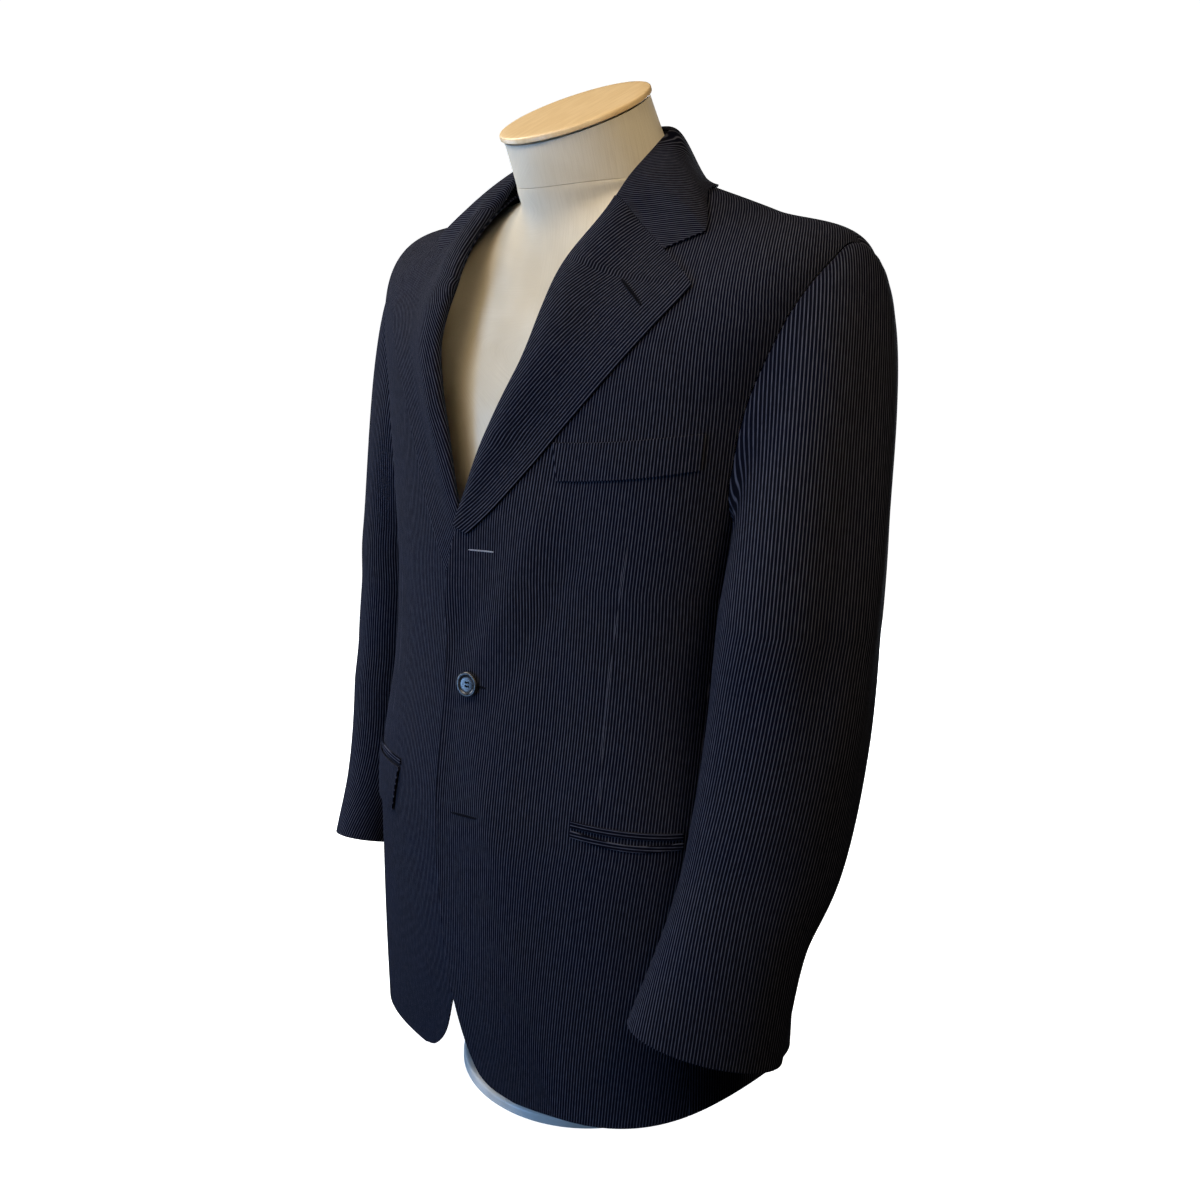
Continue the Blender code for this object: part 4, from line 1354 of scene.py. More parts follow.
    def back_grain(self, angle: Grid, level: Grid) -> Grid:
        """Where the warp of a back runs, straight from the shoulder blades to the neck.

        Args:
            angle: angles of points on it.
            level: their levels.

        Returns:
            Each point's distance across the warp.
        """
        turns = np.linspace(180.0, self.blade_reach, 81)
        reach = self.block.bare(turns, self.blade_level)[..., 0]
        girth = self.block.across(turns, self.blade_level)
        sideways = np.abs(self.block.bare(angle, level)[..., 0])
        beyond = np.maximum(sideways - reach[-1], 0)
        upright = np.sign(angle) * (np.interp(sideways, reach, girth) - beyond)
        share = ease(level, *self.blade_ease)
        return (1 - share) * self.block.across(angle, level) + share * upright

    def sew_dart(self, side: Side) -> None:
        """The pressed seam of a front's waist dart, a thread wide.

        Args:
            side: the side it is on.
        """
        share = np.linspace(0, 1, self.dart_cells + 1)
        start, end = numbers(self.dart)
        angle, level, out = OVERLAP.worn(side, start + (end - start) * share[:, None])
        face = self.block.face(angle, level, out)
        middle = laid_on(f"cloth_front_{side.word}", face, self.dart_rise)
        beside = unit(np.cross(self.block.outward(angle, level), middle[-1] - middle[0]))
        beside = beside * (self.dart_width / 2 * np.sin(np.pi * share) ** 0.3)[:, None]
        strip = np.stack([middle - beside, middle + beside], axis=1)
        thread = Finishes.suiting.pitch / 2 + self.dart_width / 2 * np.array([-1.0, 1.0])
        flat = np.stack(np.broadcast_arrays(thread, middle[:, 2:]), axis=-1)
        make_piece(f"dart_seam_{side.word}", strip, grid_faces(len(share), 2), Finishes.suiting,
                   flat)

    def pieces(self) -> list[CutPiece]:
        """Every panel of the body."""
        cuts = (self.front, self.side_panel, self.back)
        return [cut(side) for side in Side for cut in cuts]


# ---------------- lapels and collar
@dataclass
class Revers:
    """Lapels and collar: what is folded back over the fronts and round the neck."""

    block: Block
    fine: int = FINE
    wall: float = 0.0012
    lapel_cells: tuple[int, int] = (13, 3)  # along its edge, and along its end
    across_cells: int = 6
    collar_cells: tuple[int, int] = (3, 10)  # along its end, and round to the centre back
    stand_cells: int = 3
    rest: float = 0.0026  # outer face of an edge over the cloth it lies on
    roll: float = 0.0108  # outer face of a lapel where it rolls
    crest: float = 0.13  # where across a lapel its roll is highest
    spread: float = 0.27  # and how far across it spreads
    tip_step: float = 0.0025  # cloth from row to row past a lapel's tip
    curl_cells: int = 7
    curl_turns: Pair = (-62.0, 90.0)
    curl_reach: float = 0.55  # how far a roll bulges past its line, in its own heights
    least_curl: float = 0.0002
    collar_curl: float = 0.0018  # radius of the collar's fold at the back
    collar_roll: float = 5.0  # cells from the gorge over which its roll sinks to that
    middle: Triple = (0.0, -0.03, 0.74)  # of the neck's base
    stand_gap: float = 0.0012  # clear of the neckline, and under the fall
    stand_middle: float = 0.02  # how far in front of the axis its angles are read from
    # Where the collar's warp turns from level at its front to straight down at its back, in
    # cells from the gorge, the direction it counts up along, and how it is drawn out there.
    collar_turn: Pair = (5.5, 9.5)
    collar_rise: Triple = (-0.145, 0.156, 0.977)
    collar_pitch: float = 1.45

    def shape(self, side: Side) -> tuple[Grid, Grid, Grid, Grid]:
        """A lapel before its roll, by rows from there to its outer edge, the break first.

        Args:
            side: the side it is on.

        Returns:
            Its angles and levels, as on the wearer's left, how high its outer face lies, which
            is most where it rolls and least at its edge, and its outer and inner faces.
        """
        edge_cells, tip_cells = (cells * self.fine for cells in self.lapel_cells)
        edge = trace(LAPEL_EDGE[side], edge_cells)
        tip = straight(edge[-1], NOTCH[1:], tip_cells)
        roll = trace(ROLL[side], edge_cells + tip_cells)
        chart = rule(roll, np.vstack([edge, tip[1:]]), self.across_cells * self.fine)
        across = np.linspace(0, 1, chart.shape[1])[None, :]
        along = np.linspace(0, 1, chart.shape[0])[:, None]
        rise = (self.roll - self.rest) * ease(along, *LAPEL_RISE[side])
        height = self.rest + rise * np.exp(-((across - self.crest) / self.spread) ** 2)
        angle, level, out = OVERLAP.worn(side, chart)
        faces = (self.block.face(angle, level, height + out - wall) for wall in (0.0, self.wall))
        return chart, height, *faces

    def curl(self, face: Grid, height: Grid, normal: Grid) -> tuple[Grid, Grid]:
        """Columns that carry a folded edge round and under.

        Args:
            face: the outer face that is folded, its first column at the fold.
            height: how high each row stands over what it turns down to.
            normal: each row's outward direction at the fold.

        Returns:
            The outer and inner points of the added columns, the furthest round first.
        """
        inwards = unit(face[:, 0] - face[:, self.fine // 2])
        inwards = unit(inwards - normal * np.sum(inwards * normal, -1, keepdims=True))
        turns = np.linspace(*self.curl_turns, self.curl_cells + 1)[:-1]
        turns = np.radians(turns)[None, :, None]
        sides = []
        for wall in (0.0, self.wall):
            radius = np.maximum(height / 2 - wall, self.least_curl)[:, None, None]
            bulge = np.maximum(height * self.curl_reach - wall, self.least_curl)[:, None, None]
            middle = face[:, :1] - normal[:, None] * height[:, None, None] / 2
            sides.append(
                middle + normal[:, None] * radius * np.sin(turns)
                + inwards[:, None] * bulge * np.cos(turns)
            )
        return sides[0], sides[1]

    @staticmethod
    def grain(points: Grid, edge: Grid) -> Grid:
        """Flat places of cloth whose warp runs along an edge.

        Args:
            points: the piece's outer face.
            edge: the edge's points, one for each row of the piece.

        Returns:
            Distance in from the edge, and distance along it.
        """
        heading = unit(np.gradient(edge, axis=0))[:, None]
        inwards = np.concatenate([points[:, -1:] - edge[:, None],
                                  np.diff(points[:, ::-1], axis=1)], axis=1)
        across = np.linalg.norm(np.cross(inwards, heading), axis=-1).cumsum(1)
        along = runs(edge)[:, None] + np.sum(inwards * heading, -1).cumsum(1)
        return np.stack([across, along], -1)[:, ::-1]

    def lapel(self, side: Side) -> CutPiece:
        """A lapel, rolled over at its inner edge.

        Args:
            side: the side it is on.

        Returns:
            The lapel.
        """
        chart, height, outer, inner = (grid[self.fine:] for grid in self.shape(side))
        normal = self.block.outward(side.value * chart[:, 0, 0], chart[:, 0, 1])
        curl_out, curl_in = self.curl(outer, height[:, 0], normal)
        whole = np.concatenate([curl_out, outer], axis=1)
        tip = (self.lapel_cells[0] - 1) * self.fine
        edge = outer[:, -1].copy()
        onwards = np.arange(len(edge) - tip)[:, None] * self.tip_step
        edge[tip:] = outer[tip, -1] + unit(outer[tip, -1] - outer[tip - self.fine, -1]) * onwards
        return CutPiece(
            f"lapel_{side.word}", whole, np.concatenate([curl_in, inner], axis=1),
            self.grain(whole, edge), (f"front_{side.word}",), Held.FOLDED,
        )

    def collar_half(self, side: Side) -> Grid:
        """Half of the collar's fall, by rows from its fold to its edge, the gorge first.

        Args:
            side: the side it is on.

        Returns:
            Its outer face.
        """
        end_cells, back_cells = (cells * self.fine for cells in self.collar_cells)
        gorge = self.shape(side)[2][-1]
        places = numbers(COLLAR_FOLD) * side.flip
        fold = smooth_rows(
            np.vstack([gorge[0], places]), np.linspace(0, len(places), end_cells + back_cells + 1)
        )
        end = straight(NOTCH[1:], COLLAR_EDGE[0][1:], end_cells)
        line = np.vstack([end[:-1], trace(COLLAR_EDGE, back_cells)])
        edge = self.block.face(side.value * line[:, 0], line[:, 1], self.rest)
        share = np.linspace(0, 1, self.across_cells * self.fine + 1)[None, :, None]
        drapes = np.array(COLLAR_DRAPE)
        near_out, near_down, far_out, far_down = (
            np.interp(np.arange(len(fold)) / self.fine, drapes[:, 0], shares)[:, None]
            for shares in drapes[:, 1:].T
        )
        near = np.stack([near_out, near_out, near_down], -1)
        far = np.stack([far_out, far_out, far_down], -1)
        way = 3 * share * (1 - share) ** 2 * near + 3 * share**2 * (1 - share) * far + share**3
        rolled = fold[:, None] + (edge - fold)[:, None] * way
        level = fold[:, None] * (1 - share) + edge[:, None] * share
        sag = gorge - (gorge[:1] * (1 - share[0]) + gorge[-1:] * share[0])
        front = 1 - ease(np.arange(len(fold)), 0, end_cells + 2 * self.fine)
        front = front[:, None, None]
        return front * (level + sag[None]) + (1 - front) * rolled

    def collar(self) -> list[CutPiece]:
        """The collar's fall over the shoulders, and the stand inside it.

        Returns:
            The two pieces.
        """
        left, right = (self.collar_half(side) for side in Side)
        fall = np.vstack([left, right[:-1][::-1]])
        centre = np.array(self.middle)
        normal = normals(fall, centre)
        rows = np.arange(len(fall))
        from_end = np.minimum(rows, rows[::-1]) / self.fine
        height = self.collar_curl * 2 + (self.roll - self.collar_curl * 2) * (
            1 - ease(from_end, 0, self.collar_roll)
        )
        curl_out, curl_in = self.curl(fall, height, normal[:, 0])
        whole = np.concatenate([curl_out, fall], axis=1)
        under = np.concatenate([curl_in, fall - normal * self.wall], axis=1)
        backs = ("back_left", "back_right")
        first = int(self.collar_roll) * self.fine
        drop = CLOTH + 2.5 * SEAM_GAP + self.stand_gap
        top = fall[first:len(fall) - first, 0] - np.array([0, 0, drop])
        angles = np.degrees(np.arctan2(top[:, 0], -(top[:, 1] + self.stand_middle)))
        foot = self.block.bare(angles, np.full(len(angles), self.block.top))
        stand = rule(foot + np.array([0, 0, self.stand_gap]), top, self.stand_cells * self.fine)
        flat = np.stack(np.broadcast_arrays(runs(top)[:, None], stand[..., 2]), -1)
        return [
            CutPiece("collar_fall", whole, under, self.collar_grain(whole),
                     ("collar_stand", *backs), Held.FOLDED),
            CutPiece("collar_stand", stand, stand - normals(stand, centre) * CLOTH, flat,
                     ("form_neck", *backs)),
        ]

    def collar_grain(self, points: Grid) -> Grid:
        """Flat places on the collar, whose warp runs across its fall, level over its ends.

        Args:
            points: the fall's outer face, with its roll.

        Returns:
            Distance across the warp, and distance along it.
        """
        rows = np.arange(len(points))
        from_end = np.minimum(rows, rows[::-1]) / self.fine
        front = (1 - ease(from_end, *self.collar_turn))[:, None]
        hand = np.sign(points[:, -1, 0])[:, None]
        rise = self.collar_pitch * (
            points @ np.array([0.0, self.collar_rise[1], self.collar_rise[2]])
            + hand * points[..., 0] * self.collar_rise[0]
        )
        rise = rise * hand
        middle = points.shape[1] * 2 // 3
        run = np.linalg.norm(np.diff(points[:, middle], axis=0), axis=1)
        climb = np.diff(rise[:, middle])
        share = (front[1:, 0] + front[:-1, 0]) / 2
        along = np.append(0, (share * climb + (1 - share) * run)).cumsum()
        along = along[:, None] + front * (rise - rise[:, middle, None])
        turn = self.curl_cells
        steps = np.linalg.norm(np.diff(points, axis=1), axis=-1)
        beyond = steps[:, :turn][:, ::-1].cumsum(1)[:, ::-1]
        slope = (along[:, turn] - along[:, turn + 3]) / steps[:, turn:turn + 3].sum(1)
        along[:, :turn] = along[:, turn, None] + slope[:, None] * beyond
        across = steps[:, ::-1].cumsum(1)[:, ::-1]
        return np.stack([along, np.append(across, 0 * across[:, :1], axis=1)], -1)

    def pieces(self) -> list[CutPiece]:
        """Both lapels and the collar."""
        return [self.lapel(side) for side in Side] + self.collar()


# ---------------- sleeves
@dataclass
class SleevePair:
    """Two-piece sleeves: a top sleeve over each arm, and an under sleeve inside it."""

    panels: BodyPanels
    creases: tuple[Crease, ...] = SLEEVE_CREASES
    wall: float = CLOTH
    round_fine: int = 3
    long_fine: int = 9
    cap_cells: int = 6
    arm_cells: int = 10
    seams: tuple[int, int] = (14, 23)  # cells of the armhole at its front and hind seams
    spring: float = 0.085  # how strongly the head springs out of the armhole
    spring_loss: float = 0.6  # share of that which is lost under the arm
    # The head leaves along the body's normal, its height scaled, and this much more outwards.
    leave_scale: Triple = (1.0, 1.0, 0.25)
    leave_added: Triple = (0.8, 0.0, -0.1)
    arrive: Pair = (0.11, 0.09)  # pull of the arm: at its sides, more on top
    hole_middle: Pair = (90.0, 6.9)
    hole_share: float = 0.05  # of the way to that middle, to read the seam's plane
    clear: float = 2.2  # of a seam's gap, between the head and the armhole
    grain_share: float = 0.8  # how much of the arm's bend the warp doesn't follow
    grain_turn: float = 42.0  # turn round the arm where the head's warp is straight
    grain_ease: Pair = (120.0, 240.0)  # turns that take the head's spare cloth
    buttons: int = 4  # on each cuff
    button_start: float = 0.030  # from the cuff's edge to the first
    button_pitch: float = 0.0146
    button_turn: float = 11.0  # past the hind seam, in degrees
    button_seat: float = 0.0009  # off the cloth

    def seat(self, side: Side, place: Grid, out: float = 0.0) -> Grid:
        """Points on a side of the body before it creases, as if on the wearer's left.

        Args:
            side: the side.
            place: their angles and levels, as on the wearer's left.
            out: how far each is moved out.

        Returns:
            The points.
        """
        block, angle, level = self.panels.block, side.value * place[:, 0], place[:, 1]
        return (block.bare(angle, level) + block.outward(angle, level) * out) * side.flip

    def grid(self, side: Side) -> tuple[Grid, Grid, Grid, Grid]:
        """The whole sleeve on the wearer's left, by girths from the armhole to the cuff.

        Args:
            side: whose girths it takes.

        Returns:
            Its outer face, its axis, the armhole's inner edge, and each column's turn.
        """
        hole = resample(self.panels.armhole(), ARMHOLE_CELLS * self.round_fine)
        seam = self.seat(side, hole)
        middle, reach = (seam[:-1].max(0) + seam[:-1].min(0)) / 2, (seam.max(0) - seam.min(0)) / 2
        turns = np.degrees(np.unwrap(np.arctan2(
            -(seam[:, 1] - middle[1]) / reach[1], (seam[:, 2] - middle[2]) / reach[2]
        )))
        sine, cosine = np.sin(np.radians(turns)), np.cos(np.radians(turns))
        rings, heading = self.arm(side, sine, cosine)
        outwards = self.seat(side, hole, 1.0) - seam
        outwards = unit(outwards * np.array(self.leave_scale) + np.array(self.leave_added))
        under = ease(-cosine, -0.2, 1.0)
        leave = outwards * self.spring * (1 - self.spring_loss * under)[:, None]
        arrive = heading[0] * (self.arrive[0] + self.arrive[1] * cosine)[:, None]
        clear = hole + self.hole_share * (np.array(self.hole_middle) - hole)
        clear = unit(self.seat(side, clear) - seam) * self.clear * SEAM_GAP
        start = seam + clear
        t = np.linspace(0, 1, self.cap_cells * self.long_fine + 1)[:-1, None, None]
        cap = ((2 * t**3 - 3 * t**2 + 1) * start + (t**3 - 2 * t**2 + t) * leave
               + (3 * t**2 - 2 * t**3) * rings[0] + (t**3 - t**2) * arrive)
        grid = np.vstack([cap, rings])
        axis = grid[:, :-1].mean(1, keepdims=True)
        rise = relief(self.creases, (turns - turns[0])[None], grid[..., 2], 360.0)
        rise = rise * ease(np.arange(len(grid)), 0, self.long_fine * 2)[:, None]
        grid = grid + unit(grid - axis) * rise[..., None]
        return grid, axis, self.seat(side, hole, -self.wall) + clear, turns

    def arm_line(self, side: Side) -> tuple[Grid, Grid]:
        """The line of an arm below the bicep.

        Args:
            side: whose girths it takes.

        Returns:
            The arm's girths, read finely, and the level direction that each faces.
        """
        line = resample(numbers(SLEEVES[side]), self.arm_cells * self.long_fine)
        turn = np.radians(line[:, 5])
        return line, np.stack([-np.sin(turn), -np.cos(turn), np.zeros_like(turn)], -1)

    def arm(self, side: Side, sine: Grid, cosine: Grid) -> tuple[Grid, Grid]:
        """The sleeve's girths below the bicep.

        Args:
            side: whose girths it takes.
            sine: each column's share of the way forwards.
            cosine: each column's share of the way outwards.

        Returns:
            The girths, and the arm's heading at each.
        """
        line, forward = self.arm_line(side)
        heading = unit(np.gradient(line[:, :3], axis=0))
        forward = unit(forward - heading * np.sum(forward * heading, -1, keepdims=True))
        outward = unit(np.cross(heading, forward))
        outward *= np.sign(outward[:, :1])
        rings = (
            line[:, None, :3]
            + line[:, 3, None, None] * sine[None, :, None] * forward[:, None]
            + line[:, 4, None, None] * cosine[None, :, None] * outward[:, None]
        )
        return rings, heading

    def flat(self, side: Side, grid: Grid, turns: Grid) -> tuple[Grid, Grid]:
        """Places on the flat cloth, whose warp runs straight from the head to the cuff.

        Args:
            side: whose girths the sleeve takes.
            grid: the whole sleeve's outer face.
            turns: each column's turn round the arm.

        Returns:
            Distance across the warp and along it for each point, and each row's girth.
        """
        cap = self.cap_cells * self.long_fine
        across = girths(grid[cap:])
        girth = np.append(np.full(cap, across[0, -1]), across[:, -1])
        line, forward = self.arm_line(side)
        heading = unit(line[1, :3] - line[0, :3])
        moved = line[:, :3] - line[0, :3]
        moved = moved - heading * (moved @ heading)[:, None]
        bend = np.sum(moved * forward, -1) * self.grain_share
        beside = np.gradient(grid[cap], axis=0)
        beside = unit(beside - heading * (beside @ heading)[:, None])
        anchor = np.argmin(np.abs(turns - self.grain_turn))
        risen = np.sum((grid[:cap, anchor] - grid[cap, anchor]) * beside[anchor], -1)
        rounds = np.sum(np.diff(grid[:cap], axis=1) * (beside[1:] + beside[:-1]) / 2, -1)
        rounds = np.append(0 * rounds[:, :1], rounds.cumsum(1), axis=1)
        head = across[0, anchor] + risen[:, None] + rounds - rounds[:, anchor, None]
        spare = girth[0] - rounds[:, -1:]
        head = head + spare * ease(turns - turns[0], *self.grain_ease)
        across = np.concatenate([head, across + bend[:, None]])
        lengths = np.linalg.norm(np.diff(grid, axis=0), axis=-1).mean(1)
        along = np.append(0, lengths).cumsum()[:, None]
        return np.stack(np.broadcast_arrays(across, along), -1), girth

    def sleeve(self, side: Side) -> list[CutPiece]:
        """The two pieces of one sleeve.

        Args:
            side: the side it is on.

        Returns:
            The under sleeve and the top sleeve.
        """
        grid, axis, seam_in, turns = self.grid(side)
        whole, girth = self.flat(side, grid, turns)
        wrapped = np.concatenate([grid[:, -2:-1], grid, grid[:, 1:2]], axis=1)
        inside = (wrapped - normals(wrapped, axis) * self.wall)[:, 1:-1]
        inside[0] = seam_in
        cells = ARMHOLE_CELLS * self.round_fine
        first, last = (seam * self.round_fine for seam in self.seams)
        columns = {
            "under": np.arange(first, last + 1), "top": np.arange(last, first + cells + 1) % cells,
        }
        pieces = []
        for name, chosen in columns.items():
            flat = whole[:, chosen].copy()
            if name == "top":
                flat[:, :cells - last, 0] -= girth[:, None]
            pieces.append(CutPiece(
                f"sleeve_{name}_{side.word}", grid[:, chosen] * side.flip,
                inside[:, chosen] * side.flip, flat, (f"front_{side.word}", f"back_{side.word}"),
            ))
        return pieces

    def button_seats(self, side: Side) -> list[tuple[Vector, Vector]]:
        """Where the cuff's buttons sit.

        Args:
            side: the side of the sleeve.

        Returns:
            A point and its outward direction for each.
        """
        grid, axis, _, turns = self.grid(side)
        hind = turns[self.seams[1] * self.round_fine] + self.button_turn
        column = np.interp(hind, turns, np.arange(len(turns)))
        lines = [
            smooth_rows(np.swapaxes(grid, 0, 1), np.array([column + step]))[0]
            for step in (-1.0, 0.0, 1.0)
        ]
        from_cuff = runs(lines[1][::-1])
        seats = []
        for number in range(self.buttons):
            distance = self.button_start + number * self.button_pitch
            row = len(lines[1]) - 1 - np.interp(distance, from_cuff, np.arange(len(from_cuff)))
            behind, point, ahead = (smooth_rows(line, np.array([row]))[0] for line in lines)
            above = smooth_rows(lines[1], np.array([row - 3.0]))[0]
            centre = smooth_rows(axis[:, 0], np.array([row]))[0]
            normal = np.cross(ahead - behind, above - point)
            normal = unit(normal * np.sign(np.dot(normal, point - centre)))
            point = (point + normal * self.button_seat) * side.flip
            seats.append((Vector(point), Vector(normal * side.flip)))
        return seats

    def pieces(self) -> list[CutPiece]:
        """Both sleeves."""
        return [piece for side in Side for piece in self.sleeve(side)]


# ---------------- pockets
@dataclass
class Pockets:
    """The breast welt, the hip pockets' jets, and the flap."""

    block: Block
    wall: float = 0.0014
    cells: tuple[int, int] = (6, 40)
    flap_cells: int = 24  # down a trim whose warp runs down it
    rim: float = 0.8
    pull: float = 0.0002
    gape: float = 0.030  # how far the empty pocket's lower jet sags, in levels
    jet_width: float = 0.052  # in levels
    jet_rise: Pair = (0.075, -0.005)  # levels of the two jets' top edges
    jet_shift: float = 0.0008  # of the stripes across a jet
    flap_drop: float = 0.48  # in levels
    flap_rake: Pair = (3.0, 1.0)  # degrees back at its two low corners
    flap_out: float = 0.0011

    def patch(self, name: str, side: Side, corners: Grid, out: float = 0.0,
              sag: float = 0.0, turned: bool = False) -> CutPiece:
        """A flat trim on a panel.

        Args:
            name: its node's name.
            side: the panel's side.
            corners: its corners' angles and levels: top front, top back, and the same below.
            out: its back face's distance off the panel.
            sag: how far its middle hangs, in levels.
            turned: whether its warp runs along it rather than down it.

        Returns:
            The trim.
        """
        down, across = self.cells[0] if turned else self.flap_cells, self.cells[1]
        front, back = (straight(corners[end], corners[end + 2], down) for end in (0, 1))
        chart = rule(front, back, across)
        chart[..., 1] -= sag * np.sin(np.pi * np.linspace(0, 1, across + 1)) ** 1.3
        angle, level, rise = OVERLAP.worn(side, chart)
        rise = out + self.wall + SEAM_GAP + rise
        outer = self.block.face(angle, level, rise)
        inner = self.block.face(angle, level, rise - self.wall)
        flat = front_grain(self.block.across(angle, level), outer[..., 2])
        if turned:
            flat = flat[..., ::-1] + np.array([self.jet_shift, 0.0])
        return CutPiece(name, outer, inner, flat, (f"front_{side.word}",), rim=self.rim,
                        pull=self.pull)

    def hip(self, side: Side) -> list[CutPiece]:
        """Jets of one hip pocket, and on the wearer's right its flap.

        Args:
            side: the side it is on.

        Returns:
            Its trims, from the top.
        """
        mouth = numbers(POCKETS[side])
        made = []
        for name, rise in zip(("upper", "lower"), self.jet_rise):
            top = mouth + [0, rise]
            low = top - [0, self.jet_width]
            if side is Side.RIGHT and name == "lower":
                low = mouth + [[rake, -self.flap_drop] for rake in self.flap_rake]
                made.append(self.patch("pocket_flap_right", side, np.vstack([top, low]),
                                       self.flap_out))
            else:
                made.append(self.patch(f"pocket_jet_{name}_{side.word}", side,
                                       np.vstack([top, low]),
                                       sag=self.gape * (name == "lower"), turned=True))
        return made

    def pieces(self) -> list[CutPiece]:
        """Every pocket's trims."""
        welt = self.patch("breast_welt", Side.LEFT, numbers(BREAST_WELT), SEAM_GAP)
        return [welt] + self.hip(Side.LEFT) + self.hip(Side.RIGHT)


# ---------------- buttons and buttonholes
def seat_matrix(point: Vector, normal: Vector, turn: float) -> Matrix:
    """A frame at a point.

    Args:
        point: where it is.
        normal: the direction of its Z.
        turn: how far its X is turned from level, in degrees.

    Returns:
        The frame.
    """
    upward = (Vector((0, 0, 1)) - normal * normal.z).normalized()
    level = upward.cross(normal).normalized()
    frame = Matrix((level, upward, normal)).transposed().to_4x4()
    return Matrix.Translation(point) @ frame @ Matrix.Rotation(math.radians(turn), 4, "Z")


@dataclass
class Button:
    """A four-hole button, turned from horn: a raised rim round a dished middle."""

    diameter: float
    segments: int = 64
    thickness: float = 0.165  # of its diameter
    hole_radius: float = 0.088  # of its own radius, as are the places of its holes
    hole_place: float = 0.150  # along both of its axes
    drill_depth: Pair = (-0.002, 0.006)
    drill_sides: int = 16
    strand_radius: float = 0.00032  # of its thread
    strand_gap: float = 0.0005
    strand_rise: float = 0.0009
    strand_sink: float = 0.0002  # of its ends, into the holes
    face: float = 0.60  # height of its middle, of its thickness
    crease: float = 40.0  # between faces that meet at a crisp edge, in degrees

    @property
    def radius(self) -> float:
        """Its radius."""
        return self.diameter / 2

    def section(self) -> tuple[Pair, ...]:
        """Half section, from the back to the middle of the face.

        Returns:
            Rows of radius and height.
        """
        height = self.thickness * self.diameter
        rows = (
            (0.80, 0.0), (0.90, 0.03), (0.965, 0.16), (0.995, 0.38), (1.0, 0.60), (0.985, 0.80),
            (0.945, 0.95), (0.89, 1.0), (0.83, 0.985), (0.77, 0.92), (0.71, 0.80),
            (0.66, 0.69), (0.61, 0.635), (0.50, 0.60), (0.30, 0.58),
        )
        return tuple((share * self.radius, rise * height) for share, rise in rows)

    def drilled(self) -> bpy.types.Mesh:
        """The button's mesh, with its four holes.

        Returns:
            The mesh, in horn.
        """
        drill = lathe(tuple((self.hole_radius * self.radius, end) for end in self.drill_depth),
                      self.drill_sides)
        drills = gather([
            (drill[0] + np.array([across, up, 0]) * self.hole_place * self.radius, drill[1])
            for across in (-1, 1) for up in (-1, 1)
        ])
        item = add_object("button_blank", new_mesh(
            "button_blank", *lathe(self.section(), self.segments)))
        cutter = add_object("button_drills", new_mesh("button_drills", *drills))
        cut = item.modifiers.new("holes", "BOOLEAN")
        cut.object, cut.solver, cut.operation = cutter, "EXACT", "DIFFERENCE"
        graph = bpy.context.evaluated_depsgraph_get()
        mesh = bpy.data.meshes.new_from_object(item.evaluated_get(graph))
        for spare in (item, cutter):
            bpy.data.objects.remove(spare)
        mesh.shade_smooth()
        mesh.set_sharp_from_angle(angle=math.radians(self.crease))
        mesh.materials.clear()
        mesh.materials.append(Finishes.horn.material)
        return mesh

    def sew(self, mesh: bpy.types.Mesh, node: str, place: Matrix) -> None:
        """Put one button on the cloth, with its thread.

        Args:
            mesh: the drilled button.
            node: the solid it stands for.
            place: where it is sewn, its Z outwards.
        """
        item = add_object(f"{node}_horn", mesh.copy())
        item.data.transform(place)
        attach(item, BODY)
        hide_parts(node)
        reach = self.hole_place * self.radius
        foot = self.thickness * self.diameter * self.face
        strands = []
        for up in (-1, 1):
            for strand in (-0.5, 0.5):
                line = [
                    Vector((reach * math.cos(turn), up * reach + strand * self.strand_gap,
                            foot + self.strand_rise * math.sin(turn) - self.strand_sink))
                    for turn in np.linspace(0, math.pi, 9)
                ]
                strands.append(tube(np.array(line), self.strand_radius, 6))
        thread = make_piece(f"{node}_thread", *gather(strands), Finishes.twist)
        thread.data.transform(place)


